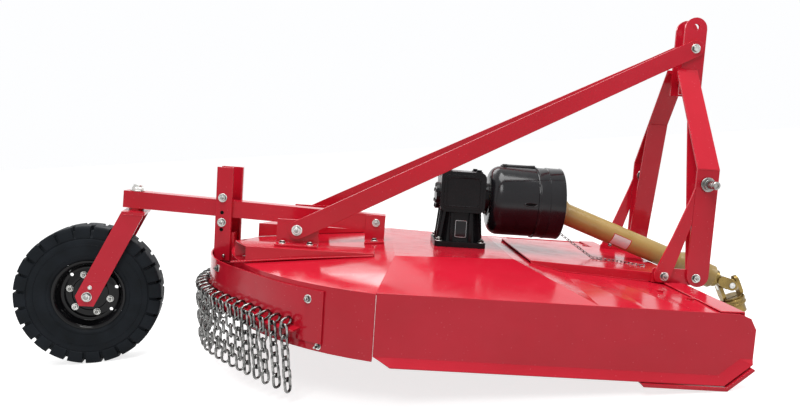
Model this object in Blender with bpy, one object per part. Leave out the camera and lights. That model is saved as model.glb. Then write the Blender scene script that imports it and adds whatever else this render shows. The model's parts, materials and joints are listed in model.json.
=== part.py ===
"""Tractor-mounted rotary mower (topper) with a castering tail wheel, parked on skids and tyre.

Everything is laid out in the deck's own frame: x towards the tractor, y to the left, z up from
the lower edge of the side skirts, with the rotor's axis at x = y = 0. An empty then leans the
whole machine forward until it stands on its skids and its tyre. Metres and degrees.
"""
import math

import bmesh
import bpy
from mathutils import Matrix, Vector
from mathutils.geometry import tessellate_polygon

# Clearances
GAP = 0.0003            # between pieces that touch, rest or are welded
PIN_GAP = 0.0004        # round a pin in its hole

# Deck pan
DECK_HALF = 0.584       # outer face of a side skirt
DECK_FRONT = 0.604
DECK_TOP = 0.158        # height of the deck's rim
CROWN_TOP = 0.202       # flat middle under the gearbox
CROWN_REAR = -0.200
CROWN_FRONT = 0.130
REAR_EXTRA = 0.029      # by which the rear's radius exceeds half the width
REAR_RADIUS = DECK_HALF + REAR_EXTRA
REAR_CENTRE = -0.063
SHEET = 0.004
SKIRT_LOW = 0.000
SEAM_GAP = 0.0022       # welded seam between the round rear and a side

# Rails on the deck: outer and inner face
REAR_RAIL_OUT = 0.300
REAR_RAIL_IN = 0.200
REAR_RAIL_TOP = 0.2035
BAND_HALF = 0.2264      # raised band in front
BAND_REAR = 0.180
BAND_HIGH = 0.200
BAND_LOW = 0.184
LUG_X = (0.522, 0.676)
SEAM_Y = BAND_HALF + 2 * GAP + 0.008    # outer face of the hitch lugs
FRONT_BREAK = 0.267     # where the front slope of the pan eases
FRONT_BREAK_TOP = 0.174
PANEL_ROWS = 4
FRONT_SEAM = 0.155      # height of the pan where the front rail meets the deck's front edge

# Side skirts, their flared lips and the skids
LIP_OUT = 0.016
LIP_BEND = 0.012
LIP_LOW = -0.007
SKIRT_FRONT = 0.636
SKID_LOW = -0.019
SKID_REAR = 0.377
SKID_FRONT = 0.573
SKID_WIDTH = 0.034

# Fascia across the front
FASCIA_DEPTH = 0.052
FASCIA_RISE = 0.0015
FASCIA_LOW = 0.100

# Chain guard round the rear
GUARD_ANGLE = 60.3      # round the skirt from the rear's middle to the guard's end
GUARD_LEAVE = 41.0      # where it leaves the skirt and runs straight to its rear bend
GUARD_SEAT = 0.0026     # from the uprights' rear faces to the guard's middle
GUARD_TOP = 0.146
GUARD_LOW = 0.020
GUARD_STEPS = 48
SHELF_ANGLE = 54.5
SHELF_DROP = 0.004
SHELF_INTO = 0.002      # welded into the guard
SLOT_WIDTH = 0.012
SLOT_HEIGHT = 0.015
SHELF_TOP = 0.050
SHELF_DEPTH = 0.026
CHAIN_COUNT = 32
CHAIN_SPREAD = 52.0
CHAIN_PITCH = 0.0375
CHAIN_LINKS = 4
CHAIN_WIDTH = 0.020
CHAIN_WIRE = 0.0055

# Tail beam and its uprights
BEAM = 0.050
BEAM_FRONT = -0.226
BEAM_FRONT_TOP = 0.278
CASTOR_AT = 0.750       # from the beam's front end to the castor pin
BEAM_LENGTH = CASTOR_AT + 0.033
BEAM_RISE = 1.975
UPRIGHT_BACK = 0.056    # from the skirt's rear to the uprights' rear faces
UPRIGHT_X = REAR_CENTRE - REAR_RADIUS - UPRIGHT_BACK
UPRIGHT_WIDTH = 0.047
UPRIGHT_LEFT_WIDTH = 0.065
UPRIGHT_FACE = 0.040
UPRIGHT_LOW = 0.115
UPRIGHT_TOP = 0.394
BRACKET_T = 0.006

# Braces
BRACE_DEPTH = 0.050
BRACE_T = 0.010
BRACE_FOOT = (-0.468, 0.245)
BRACE_FOOT_FACE = 0.2255

# Three-point hitch frame
LEG_X = (0.616, 0.678)
LEG_T = 0.008
LEG_FOOT = 0.155
CLEVIS_HALF = 0.035
CLEVIS_X = (0.630, 0.696)
HITCH_PIN_X = 0.647
HITCH_PIN_Z = 0.442
LEG_KINK = HITCH_PIN_Z + 0.041
MAST_HEIGHT = 0.460     # top link hole over the lower pins, category 1
CLEVIS_HOLE = HITCH_PIN_Z + MAST_HEIGHT
CLEVIS_TOP = CLEVIS_HOLE + 0.028
CLEVIS_LOW = CLEVIS_HOLE - 0.202
LEG_TOP = CLEVIS_HOLE - 0.134
BRACE_PIN = (0.663, CLEVIS_HOLE - 0.065)
HITCH_PIN_R = 0.011
HITCH_PIN_REACH = 0.048

# Gearbox and driveline
GEARBOX_HALF = 0.067
GEARBOX_LOW = 0.306
GEARBOX_TOP = 0.427
COVER_INSET = 0.010
COVER_RISE = 0.005
STEM_HALF = (0.060, 0.050)    # at the flange and under the housing
STEM_RIB = 0.010
DRIVE_SEAT = 0.082      # front face of the housing's shaft cap
FLANGE_HALF = 0.077
FLANGE_T = 0.016
SHAFT_Z = 0.345
DRIVE_X = 0.246
LIE_GAP = 0.0008        # the guard tube lies on the deck's edge
TUBE_END = 0.520
END_X = 0.650           # from joint to joint
END_DROP = 45.0
EAR_R = 0.0165
EAR_IN = 0.023
EAR_OUT = 0.034
SLOT_END = 0.041
CROSS_R = 0.010
TUBE_R = 0.0325
TUBE_WALL = 0.004
CUP_R = 0.046           # flared end of the guard tube
CUP_LENGTH = 0.050
BELL_R0 = 0.1045
BELL_R1 = 0.108
BELL_MOUTH = 0.300
BELL_BAND = 0.226
BELL_ROUND = 0.034
BELL_WALL = 0.004

# Rotor
ROTOR_Z = 0.085
PAN_R = 0.230
BLADE_PIVOT = 0.200
BLADE_TIP = 0.540
BLADE_WIDTH = 0.070
BLADE_T = 0.009

# Castor and wheel
CASTOR_TURN = 9.4
CASTOR_PIN_R = 0.0125
CASTOR_NUT_R = 0.021
CROWN_GAP = 0.008
TRAIL = 0.113
AXLE_DROP = 0.268
FORK_HALF = 0.062
FORK_WIDTH = 0.065
FORK_T = 0.008
TYRE_R = 0.208
TYRE_HALF = 0.0475
BLOCK_COUNT = 24
NOTCH_DEPTH = 0.013
NOTCH_SHARE = 0.085     # half a notch's width, of the blocks' pitch
WALL_R = 0.168
RIM_R = 0.104

# Paints: colour, metallic, roughness
PAINTS = {
    "red": ((0.55, 0.012, 0.03, 1), 0.0, 0.25),
    "zinc": ((0.62, 0.62, 0.60, 1), 1.0, 0.3),
    "steel": ((0.36, 0.35, 0.34, 1), 1.0, 0.45),
    "yellow": ((0.34, 0.25, 0.09, 1), 0.8, 0.35),
    "black": ((0.012, 0.012, 0.014, 1), 0.0, 0.35),
    "plastic": ((0.015, 0.015, 0.017, 1), 0.0, 0.3),
    "tan": ((0.36, 0.25, 0.11, 1), 0.0, 0.4),
    "rubber": ((0.03, 0.032, 0.036, 1), 0.0, 0.7),
    "rim": ((0.008, 0.008, 0.009, 1), 0.0, 0.12),
}


def clear_scene():
    for ob in list(bpy.data.objects):
        bpy.data.objects.remove(ob, do_unlink=True)


def paint(ob, colour):
    """Give the object a material of its own."""
    base, metallic, roughness = PAINTS[colour]
    mat = bpy.data.materials.new(ob.name + "_paint")
    mat.use_nodes = True
    shader = mat.node_tree.nodes["Principled BSDF"]
    shader.inputs["Base Color"].default_value = base
    shader.inputs["Metallic"].default_value = metallic
    shader.inputs["Roughness"].default_value = roughness
    mat.diffuse_color = base
    ob.data.materials.append(mat)


def make(name, verts, faces, colour, parent):
    """A closed mesh object from points and faces, under its parent."""
    mesh = bpy.data.meshes.new(name)
    bm = bmesh.new()
    points = [bm.verts.new(v) for v in verts]
    for face in faces:
        bm.faces.new([points[i] for i in face])
    bmesh.ops.recalc_face_normals(bm, faces=bm.faces)
    bm.to_mesh(mesh)
    bm.free()
    ob = bpy.data.objects.new(name, mesh)
    bpy.context.scene.collection.objects.link(ob)
    ob.parent = parent
    paint(ob, colour)
    return ob


def empty(name, parent, place=(0, 0, 0), turn=(0, 0, 0)):
    ob = bpy.data.objects.new(name, None)
    bpy.context.scene.collection.objects.link(ob)
    ob.parent = parent
    ob.location = place
    ob.rotation_euler = [math.radians(a) for a in turn]
    return ob


def arc(cx, cy, radius, start, stop, count):
    """Points on an arc from start to stop, in degrees."""
    out = []
    for i in range(count + 1):
        a = math.radians(start + (stop - start) * i / count)
        out.append((cx + radius * math.cos(a), cy + radius * math.sin(a)))
    return out


def circle(cx, cy, radius, count=16):
    return arc(cx, cy, radius, 0, 360, count)[:-1]


def stadium(p, q, radius, count=8):
    """The outline of a bar with round ends between two points."""
    a = math.degrees(math.atan2(q[1] - p[1], q[0] - p[0]))
    return arc(*q, radius, a - 90, a + 90, count) + arc(*p, radius, a + 90, a + 270, count)


AXES = {"x": (1, 2, 0), "y": (0, 2, 1), "z": (0, 1, 2)}


def prism(name, loops, axis, lo, hi, colour, parent):
    """Extrude an outline with holes along an axis. Outlines are (x,y), (x,z) or (y,z)."""
    a, b, c = AXES[axis]

    def at(p, depth):
        v = [0, 0, 0]
        v[a], v[b], v[c] = p[0], p[1], depth
        return tuple(v)

    flat = [p for loop in loops for p in loop]
    n = len(flat)
    verts = [at(p, lo) for p in flat] + [at(p, hi) for p in flat]
    tris = tessellate_polygon([[Vector((p[0], p[1], 0)) for p in loop] for loop in loops])
    faces = []
    if len(loops) == 1:
        faces += [tuple(range(n)), tuple(range(2 * n - 1, n - 1, -1))]
    else:
        faces += [tuple(t) for t in tris] + [tuple(i + n for i in reversed(t)) for t in tris]
    start = 0
    for loop in loops:
        m = len(loop)
        for i in range(m):
            j = (i + 1) % m
            faces.append((start + i, start + j, start + j + n, start + i + n))
        start += m
    return make(name, verts, faces, colour, parent)


def turned(name, profile, axis, count, colour, parent, place=(0, 0, 0)):
    """Turn a closed (radius, height) profile about an axis; radius 0 closes at a point."""
    a, b, c = AXES[axis]
    verts, rings = [], []
    for r, h in profile:
        ring = []
        for i in range(1 if r == 0 else count):
            t = 2 * math.pi * i / count
            v = [0, 0, 0]
            v[a] = r * math.cos(t)
            v[b] = r * math.sin(t)
            v[c] = h
            ring.append(len(verts))
            verts.append(tuple(v[k] + place[k] for k in range(3)))
        rings.append(ring)
    faces = []
    pairs = list(zip(rings, rings[1:]))
    if profile[0][0] and profile[-1][0]:
        pairs.append((rings[-1], rings[0]))
    for p, q in pairs:
        if len(p) == 1 and len(q) == 1:
            continue
        for i in range(count):
            j = (i + 1) % count
            face = [p[i % len(p)], p[j % len(p)], q[j % len(q)], q[i % len(q)]]
            faces.append(tuple(dict.fromkeys(face)))
    return make(name, verts, faces, colour, parent)


def box(name, x, y, z, colour, parent):
    return prism(name, [[(x[0], y[0]), (x[1], y[0]), (x[1], y[1]), (x[0], y[1])]], "z", *z, colour, parent)


def combine(target, other, operation):
    """Boolean with a helper object that isn't a piece itself."""
    mod = target.modifiers.new(other.name, "BOOLEAN")
    mod.object = other
    mod.operation = operation
    mod.solver = "EXACT"
    other.hide_render = True
    other.display_type = "WIRE"
    return target


def sheet(name, verts, faces, thickness, colour, parent, outward=False):
    """A folded sheet: an open surface with a thickness on its inner side."""
    mesh = bpy.data.meshes.new(name)
    mesh.from_pydata(verts, [], faces)
    mesh.validate()
    ob = bpy.data.objects.new(name, mesh)
    bpy.context.scene.collection.objects.link(ob)
    ob.parent = parent
    mod = ob.modifiers.new("thickness", "SOLIDIFY")
    mod.thickness = thickness
    mod.offset = 1 if outward else -1
    mod.use_even_offset = True
    paint(ob, colour)
    return ob


def side_name(side):
    return "left" if side > 0 else "right"


def rear_x(y, radius=REAR_RADIUS):
    return REAR_CENTRE - math.sqrt(radius ** 2 - y ** 2)


def lean():
    """The forward lean at which skids and tyre touch the ground together."""
    rise = math.radians(BEAM_RISE)
    x0 = BEAM_FRONT - CASTOR_AT * math.cos(rise)
    z0 = BEAM_FRONT_TOP - BEAM * math.cos(rise) + CASTOR_AT * math.sin(rise)
    back = TRAIL * math.cos(math.radians(CASTOR_TURN))
    x = x0 - back * math.cos(rise) - AXLE_DROP * math.sin(rise)
    z = z0 + back * math.sin(rise) - AXLE_DROP * math.cos(rise)
    dx = SKID_FRONT - x
    dz = z - SKID_LOW
    return math.degrees(math.asin(TYRE_R / math.hypot(dx, dz)) - math.atan2(dz, dx))


LEAN = lean()


# Deck

def pan_height(x):
    """Height of the pan along its middle."""
    if x < CROWN_REAR:
        rear = rear_x(0)
        return DECK_TOP + (CROWN_TOP - DECK_TOP) * (x - rear) / (CROWN_REAR - rear)
    if x > FRONT_BREAK:
        return FRONT_BREAK_TOP + (FRONT_SEAM - FRONT_BREAK_TOP) * (x - FRONT_BREAK) / (DECK_FRONT - FRONT_BREAK)
    if x > CROWN_FRONT:
        return CROWN_TOP + (FRONT_BREAK_TOP - CROWN_TOP) * (x - CROWN_FRONT) / (FRONT_BREAK - CROWN_FRONT)
    return CROWN_TOP


def band_top(x):
    """Height of the front band, which falls towards the tractor."""
    return BAND_HIGH + (BAND_LOW - BAND_HIGH) * (x - BAND_REAR) / (DECK_FRONT - BAND_REAR)


def deck_pan(root):
    """Hipped top sheet with the round rear skirt; folds run along the rails."""
    inner = DECK_HALF - SHEET - 2 * GAP
    seam = REAR_CENTRE - math.sqrt(REAR_RADIUS ** 2 - DECK_HALF ** 2)
    start = math.degrees(math.asin(DECK_HALF / REAR_RADIUS))
    rim = [(x, y) for x, y in arc(REAR_CENTRE, 0, REAR_RADIUS, 180 + start, 180 - start, 28)]
    verts = [(x, y, DECK_TOP) for x, y in rim]
    n = len(verts)
    verts += [(x, y, SKIRT_LOW) for x, y in rim]
    names = {}

    def point(key, x, y, z):
        names[key] = len(verts)
        verts.append((x, y, z))

    for s in (-1, 1):
        point(("seam", s), seam + SEAM_GAP, s * inner, DECK_TOP)
        point(("mid", s), CROWN_FRONT, s * inner, DECK_TOP)
        for i in range(1, PANEL_ROWS):
            x = FRONT_BREAK + (DECK_FRONT - FRONT_BREAK) * (i - 1) / (PANEL_ROWS - 1)
            point(("edge", s, i), x, s * inner, DECK_TOP)
            point(("fold", s, i), x, s * SEAM_Y, pan_height(x))
        point(("front", s), DECK_FRONT, s * inner, DECK_TOP)
        point(("B", s), CROWN_REAR, s * REAR_RAIL_OUT, CROWN_TOP)
        point(("C", s), CROWN_FRONT, s * SEAM_Y, CROWN_TOP)
        point(("D", s), DECK_FRONT, s * SEAM_Y, FRONT_SEAM)
    faces = [(i, i + 1, i + 1 + n, i + n) for i in range(n - 1)]
    cut = [i for i, (x, y) in enumerate(rim) if y <= -REAR_RAIL_OUT]
    k = cut[-1]
    m = n - 1 - k
    B, C, D = (names[(key, -1)] for key in "BCD")
    E, F, G = (names[(key, 1)] for key in "BCD")
    for i in range(k):
        faces.append((i, B, i + 1))
    for i in range(m, n - 1):
        faces.append((i, E, i + 1))
    middle = (k + m) // 2
    for i in range(k, middle):
        faces.append((i, B, i + 1))
    for i in range(middle, m):
        faces.append((i, E, i + 1))
    faces.append((middle, B, E))
    faces.append((0, names[("seam", -1)], names[("mid", -1)], B))
    faces.append((B, names[("mid", -1)], C))
    faces.append((B, C, F, E))
    for s in (-1, 1):
        fold = [names[("C", s)]] + [names[("fold", s, i)] for i in range(1, PANEL_ROWS)] + [names[("D", s)]]
        edge = [names[("mid", s)]] + [names[("edge", s, i)] for i in range(1, PANEL_ROWS)] + [names[("front", s)]]
        for i in range(PANEL_ROWS):
            faces.append((fold[i], edge[i], edge[i + 1], fold[i + 1]))
    for i in range(PANEL_ROWS):
        row = [C, names[("fold", -1, 1)], names[("fold", -1, 2)], names[("fold", -1, 3)], D]
        far = [F, names[("fold", 1, 1)], names[("fold", 1, 2)], names[("fold", 1, 3)], G]
        faces.append((row[i], row[i + 1], far[i + 1], far[i]))
    faces.append((n - 1, E, names[("mid", 1)], names[("seam", 1)]))
    faces.append((E, F, names[("mid", 1)]))
    ob = closed_sheet("deck_pan", verts, faces, SHEET, "red", root)
    hole = prism("cut_deck_hole", [circle(0, 0, 0.045, 24)], "z", 0.1, 0.3, "red", root)
    return combine(ob, hole, "DIFFERENCE")


def closed_sheet(name, verts, faces, thickness, colour, parent):
    """A sheet whose faces are turned outward first, so that its thickness lies inside."""
    ob = sheet(name, verts, faces, thickness, colour, parent)
    bm = bmesh.new()
    bm.from_mesh(ob.data)
    bmesh.ops.recalc_face_normals(bm, faces=bm.faces)
    top = max(bm.faces, key=lambda f: f.calc_center_median().z)
    if top.normal.z < 0:
        bmesh.ops.reverse_faces(bm, faces=bm.faces)
    bm.to_mesh(ob.data)
    bm.free()
    return ob


def rails(root):
    """Two level rails at the rear, a raised band in the middle of the front and lugs for the hitch."""
    for s in (-1, 1):
        # the foot of a rail follows the pan down to the rim
        stations = [CROWN_REAR - 0.055, (CROWN_REAR + rear_x(REAR_RAIL_OUT)) / 2]
        rows = []
        for x in stations:
            rows.append((x, x, pan_height(x), REAR_RAIL_TOP))
        rows.append((rear_x(REAR_RAIL_OUT) + 0.004, rear_x(REAR_RAIL_IN) + 0.004, DECK_TOP, REAR_RAIL_TOP))
        rail("rear_rail_" + side_name(s), s * (REAR_RAIL_OUT - GAP), s * REAR_RAIL_IN, rows, root)
        low, high = pan_height(LUG_X[0]) + 0.0012, BAND_LOW + 0.018
        r = 0.008
        outline = ([(LUG_X[0], low), (LUG_X[1] - r, low - 0.004)] + arc(LUG_X[1] - r, high - r, r, 0, 90, 4)
                   + arc(LUG_X[0] + r, high - r, r, 90, 180, 4))
        y = sorted((s * (BAND_HALF + GAP), s * (BAND_HALF + GAP + LEG_T)))
        prism("hitch_lug_" + side_name(s), [outline], "y", *y, "red", root)
    rows = [(x, x, pan_height(x), band_top(x)) for x in (BAND_REAR, FRONT_BREAK, DECK_FRONT)]
    rail("front_band", BAND_HALF, -BAND_HALF, rows, root)


def rail(name, out, inn, rows, root):
    """An upside-down channel whose flanges are cut to the pan's slope."""
    verts, faces = [], []
    for xo, xi, low, top in rows:
        foot = min(low + 0.0012, top - SHEET - 0.0005)
        verts += [(xo, out, foot), (xo, out, top), (xi, inn, top), (xi, inn, foot)]
    for i in range(len(rows) - 1):
        for j in range(3):
            a = 4 * i + j
            faces.append((a, a + 1, a + 5, a + 4))
    closed_sheet(name, verts, faces, SHEET, "red", root)


def side_skirt(s, root):
    """A flat side plate with a lip flared outward along its foot and its lower front corner."""
    y0 = s * DECK_HALF
    y1 = s * (DECK_HALF + LIP_OUT)
    seam = REAR_CENTRE - math.sqrt(REAR_RADIUS ** 2 - DECK_HALF ** 2) + SEAM_GAP
    verts = [
        (seam, y0, LIP_BEND), (0.556, y0, LIP_BEND), (0.605, y0, 0.055), (SKIRT_FRONT, y0, 0.055),
        (SKIRT_FRONT, y0, 0.125), (0.622, y0, 0.150), (0.595, y0, 0.160), (seam, y0, 0.160),
        (seam + 0.04, y1, LIP_LOW), (0.566, y1, LIP_LOW), (SKIRT_FRONT - 0.006, y1 - s * 0.003, 0.046),
    ]
    faces = [(0, 1, 2, 7), (2, 3, 4), (2, 4, 5), (2, 5, 6), (2, 6, 7),
             (0, 8, 9, 1), (1, 9, 10, 2), (2, 10, 3)]
    ob = sheet("side_skirt_" + side_name(s), verts, faces, SHEET, "red", root)
    bm = bmesh.new()
    bm.from_mesh(ob.data)
    bmesh.ops.recalc_face_normals(bm, faces=bm.faces)
    big = max(bm.faces, key=lambda f: f.calc_area())
    if big.normal.y * s < 0:
        bmesh.ops.reverse_faces(bm, faces=bm.faces)
    bm.to_mesh(ob.data)
    bm.free()


def skid(s, root):
    """A wear bar under the lip, turned up in front."""
    top = LIP_LOW - SHEET * 0.75 - GAP
    outline = [(SKID_REAR - 0.008, top), (SKID_REAR, SKID_LOW), (SKID_FRONT, SKID_LOW),
               (0.634, 0.034), (0.6275, 0.0385), (0.5700, top)]
    lo, hi = sorted((s * (DECK_HALF + LIP_OUT + 0.004), s * (DECK_HALF + LIP_OUT + 0.004 - SKID_WIDTH)))
    prism("skid_" + side_name(s), [outline], "y", lo, hi, "red", root)


def fascia(root):
    """Front cross plate: a top strip each side rises to the lugs, a front flange hangs down all along."""
    x0 = DECK_FRONT - FASCIA_DEPTH
    x1 = DECK_FRONT + SHEET + 2 * GAP
    base = DECK_TOP + SHEET + 5 * GAP
    edge = DECK_HALF - SHEET - 2 * GAP
    inner = SEAM_Y + LEG_T + 4 * GAP
    under = pan_height(LUG_X[0]) - 0.007
    verts, faces = [], []
    for s in (-1, 1):
        verts += [(x0, s * edge, base), (x0, s * inner, pan_height(x0) + SHEET + 7 * GAP),
                  (x1, s * edge, base + 0.001), (x1, s * inner, base + FASCIA_RISE),
                  (x1, s * edge, under), (x1, s * inner, under), (x1, s * BAND_HALF, under),
                  (x1, s * edge, FASCIA_LOW), (x1, s * inner, FASCIA_LOW), (x1, s * BAND_HALF, FASCIA_LOW),
                  (x1, s * BAND_HALF, BAND_LOW - 0.002)]
    for o in (0, 11):
        for face in ((0, 2, 3, 1), (2, 4, 5, 3), (4, 7, 8, 5), (5, 8, 9, 6)):
            faces.append(tuple(o + k for k in face))
    faces += [(6, 9, 20, 17), (10, 6, 17, 21)]
    closed_sheet("front_fascia", verts, faces, SHEET, "red", root)


# Chain guard

def guard_line(angle, offset, steps):
    """Points and outward directions at equal steps along the guard, offset from its inner face.

    The line follows the round skirt, leaves it straight and bends round behind the uprights.
    """
    big = REAR_RADIUS + 2 * GAP
    leave = math.radians(GUARD_LEAVE)
    rear = UPRIGHT_X - GUARD_SEAT
    stretch = 1 / math.cos(leave)
    small = (big * stretch - (REAR_CENTRE - rear)) / (stretch - 1)
    bend = small * leave
    straight = (big - small) * math.tan(leave)
    reach = bend + straight + big * (math.radians(angle) - leave)
    line = []
    for i in range(steps + 1):
        along = reach * (1 - 2 * i / steps)
        s = math.copysign(1, along)
        d = abs(along)
        if d <= bend:
            turn = d / small
            x, y = rear + small * (1 - math.cos(turn)), small * math.sin(turn)
        elif d <= bend + straight:
            turn = leave
            x = rear + small * (1 - math.cos(turn)) + (d - bend) * math.sin(turn)
            y = small * math.sin(turn) + (d - bend) * math.cos(turn)
        else:
            turn = leave + (d - bend - straight) / big
            x, y = REAR_CENTRE - big * math.cos(turn), big * math.sin(turn)
        out = Vector((-math.cos(turn), s * math.sin(turn), 0))
        line.append((Vector((x, s * y, 0)) + out * offset, out))
    return line


def sweep(name, line, section, root):
    """A solid with the same section, in offset and height, at every point of a guard line."""
    verts = [p + out * offset + Vector((0, 0, z)) for p, out in line for offset, z in section]
    m = len(section)
    last = len(line) - 1
    faces = [(m * i + j, m * i + (j + 1) % m, m * (i + 1) + (j + 1) % m, m * (i + 1) + j)
             for i in range(last) for j in range(m)]
    faces += [tuple(range(m)), tuple(m * last + j for j in reversed(range(m)))]
    return make(name, verts, faces, "red", root)


def guard(root):
    """Curved band outside the rear skirt with a shelf for the chains and a slot for each of them."""
    line = guard_line(GUARD_ANGLE, 0, GUARD_STEPS)
    band = sweep("chain_guard", line, [(SHEET, GUARD_LOW), (0, GUARD_LOW), (0, GUARD_TOP), (SHEET, GUARD_TOP)], root)
    line = guard_line(SHELF_ANGLE, SHEET, GUARD_STEPS)
    low = SHELF_TOP - SHELF_DROP
    shelf = sweep("join_shelf", line, [(-SHELF_INTO, SHELF_TOP - SHEET), (-SHELF_INTO, SHELF_TOP),
                                       (SHELF_DEPTH, low), (SHELF_DEPTH, low - SHEET)], root)
    combine(band, shelf, "UNION")
    slots = bmesh.new()
    for point, out in guard_line(CHAIN_SPREAD, SHEET / 2, CHAIN_COUNT - 1):
        turn = Matrix((out, (-out.y, out.x, 0), (0, 0, 1))).transposed().to_4x4()
        middle = point + Vector((0, 0, SHELF_TOP + SLOT_HEIGHT / 2 + GAP))
        size = Matrix.Diagonal((SHEET * 2, SLOT_WIDTH, SLOT_HEIGHT, 1))
        bmesh.ops.create_cube(slots, size=1, matrix=Matrix.Translation(middle) @ turn @ size)
    mesh = bpy.data.meshes.new("cut_slots")
    slots.to_mesh(mesh)
    slots.free()
    cutter = bpy.data.objects.new("cut_slots", mesh)
    bpy.context.scene.collection.objects.link(cutter)
    cutter.parent = root
    combine(band, cutter, "DIFFERENCE")


def strand(bm, top, across, down, first, free):
    """One chain: knuckles at the pitch, joined by pairs of bars that turn a quarter each time.

    The top knuckle stays open on the sides where a tie to the next chain joins it.
    """
    side = across.normalized()
    drop = down.normalized()
    front = side.cross(drop)
    h = CHAIN_WIRE * 0.75

    def knuckle(place):
        # eight sides: four above and four below, facing along side and front
        ring = [place + (side * a + front * b) * CHAIN_WIRE * 0.62 for a, b in ((1, 1), (-1, 1), (-1, -1), (1, -1))]
        pts = [bm.verts.new(p) for p in ring]
        return bm.verts.new(place - drop * h), pts, bm.verts.new(place + drop * h)

    def bar(a, b, outward, place):
        """A bowed three-sided bar between two triangles."""
        mid = [bm.verts.new(place + outward * o + w) for o, w in
               ((CHAIN_WIDTH / 2, Vector()), (CHAIN_WIDTH / 2 - CHAIN_WIRE * 0.8, outward.cross(drop) * CHAIN_WIRE * 0.5),
                (CHAIN_WIDTH / 2 - CHAIN_WIRE * 0.8, -outward.cross(drop) * CHAIN_WIRE * 0.5))]
        for tri in (a, b):
            # tri: apex on the axis, then the two ring points
            cross = outward.cross(drop)
            one, two = sorted(tri[1:], key=lambda v: -(v.co - place).dot(cross))
            apex = tri[0]
            for f in ((apex, one, mid[1]), (one, two, mid[0]), (two, apex, mid[2]), (apex, mid[1], mid[2]),
                      (one, mid[0], mid[1]), (two, mid[2], mid[0])):
                bm.faces.new(f)

    knots = [knuckle(top + drop * CHAIN_PITCH * i) for i in range(CHAIN_LINKS + 1)]
    used = set()
    for i in range(CHAIN_LINKS):
        direction = front if (i + first) % 2 else side
        for sign in (1, -1):
            out = direction * sign
            upper = knots[i]
            lower = knots[i + 1]
            low_tri = [upper[2]] + [v for v in upper[1] if (v.co - (top + drop * CHAIN_PITCH * i)).dot(out) > 0]
            high_tri = [lower[0]] + [v for v in lower[1] if (v.co - (top + drop * CHAIN_PITCH * (i + 1))).dot(out) > 0]
            place = top + drop * CHAIN_PITCH * (i + 0.5)
            bar(low_tri, high_tri, out, place)
            used.add((i, "low", sign, (i + first) % 2))
            used.add((i + 1, "high", sign, (i + first) % 2))
    for k, (apex, ring, nadir) in enumerate(knots):
        centre = top + drop * CHAIN_PITCH * k
        for name, tip in (("high", apex), ("low", nadir)):
            for j in range(4):
                a, b = ring[j], ring[(j + 1) % 4]
                mid = (a.co + b.co) / 2 - centre
                taken = False
                for flag, direction in ((0, side), (1, front)):
                    for sign in (1, -1):
                        if (k, name, sign, flag) in used and mid.dot(direction * sign) > CHAIN_WIRE * 0.4:
                            taken = True
                tied = k == 0 and name == "high" and abs(mid.dot(side)) > CHAIN_WIRE * 0.4 and (k, j) not in free
                if not taken and not tied:
                    bm.faces.new((a, b, tip))
    return knots[0]


def chains(root):
    """The curtain: every strand hangs plumb from the shelf's edge, in front of its slot."""
    down = Vector((math.sin(math.radians(LEAN)), 0, -math.cos(math.radians(LEAN))))
    offset = SHEET + SHELF_DEPTH + GAP + CHAIN_WIRE * 0.62 + PIN_GAP
    bm = bmesh.new()
    last = None
    for i, (point, out) in enumerate(guard_line(CHAIN_SPREAD, offset, CHAIN_COUNT - 1)):
        top = point + Vector((0, 0, SHELF_TOP - 0.002))
        across = Vector((-out.y, out.x, 0))
        across = (across - down * across.dot(down)).normalized()
        free = {0: [(0, 1)], CHAIN_COUNT - 1: [(0, 3)]}.get(i, [])
        apex, ring, _ = strand(bm, top, across, down, 0, free)
        if last:
            here = (apex, ring[1], ring[2])
            for p, q in ((0, 1), (1, 2), (2, 0)):
                bm.faces.new((last[p], last[q], here[q], here[p]))
        last = (apex, ring[0], ring[3])
    bmesh.ops.recalc_face_normals(bm, faces=bm.faces)
    mesh = bpy.data.meshes.new("chain_curtain")
    bm.to_mesh(mesh)
    bm.free()
    ob = bpy.data.objects.new("chain_curtain", mesh)
    bpy.context.scene.collection.objects.link(ob)
    ob.parent = root
    paint(ob, "zinc")


# Tail beam

def beam_frame(root):
    rise = math.radians(BEAM_RISE)
    centre_z = BEAM_FRONT_TOP - BEAM / 2 * math.cos(rise)
    return empty("beam_axis", root, (BEAM_FRONT, 0, centre_z), (0, BEAM_RISE, 0))


def tail_beam(frame):
    half = BEAM / 2
    wall = 0.005
    outer = [(-half, -half), (half, -half), (half, half), (-half, half)]
    inner = [(p[0] * (half - wall) / half, p[1] * (half - wall) / half) for p in outer]
    ob = prism("tail_beam", [outer, inner], "x", -BEAM_LENGTH, 0, "red", frame)
    hole = prism("cut_beam_pin", [circle(-CASTOR_AT, 0, CASTOR_PIN_R + PIN_GAP)], "z", -0.05, 0.05, "red", frame)
    return combine(ob, hole, "DIFFERENCE")


def uprights(root):
    """Two upright channels, one each side of the beam, bolted to a bracket on the guard."""
    for s, width, low in ((-1, UPRIGHT_WIDTH, UPRIGHT_LOW), (1, UPRIGHT_LEFT_WIDTH, DECK_TOP + 0.0012)):
        x0, x1 = UPRIGHT_X, UPRIGHT_X + width
        face, inner, t = UPRIGHT_FACE, BEAM / 2 + GAP, 0.005
        outline = [(x0, s * face), (x1, s * face), (x1, s * inner), (x1 - t, s * inner),
                   (x1 - t, s * (face - t)), (x0 + t, s * (face - t)), (x0 + t, s * inner), (x0, s * inner)]
        prism("upright_" + side_name(s), [outline], "z", low, UPRIGHT_TOP, "red", root)
    x1 = rear_x(0) - 2 * GAP
    t = 0.006
    half = BEAM / 2 - GAP
    outline = [(UPRIGHT_X, -half), (x1, -half), (x1, half), (UPRIGHT_X, half),
               (UPRIGHT_X, half - t), (x1 - t, half - t), (x1 - t, -half + t), (UPRIGHT_X, -half + t)]
    prism("tail_bracket", [outline], "z", UPRIGHT_LOW - 0.008, DECK_TOP + 0.040, "red", root)


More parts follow.
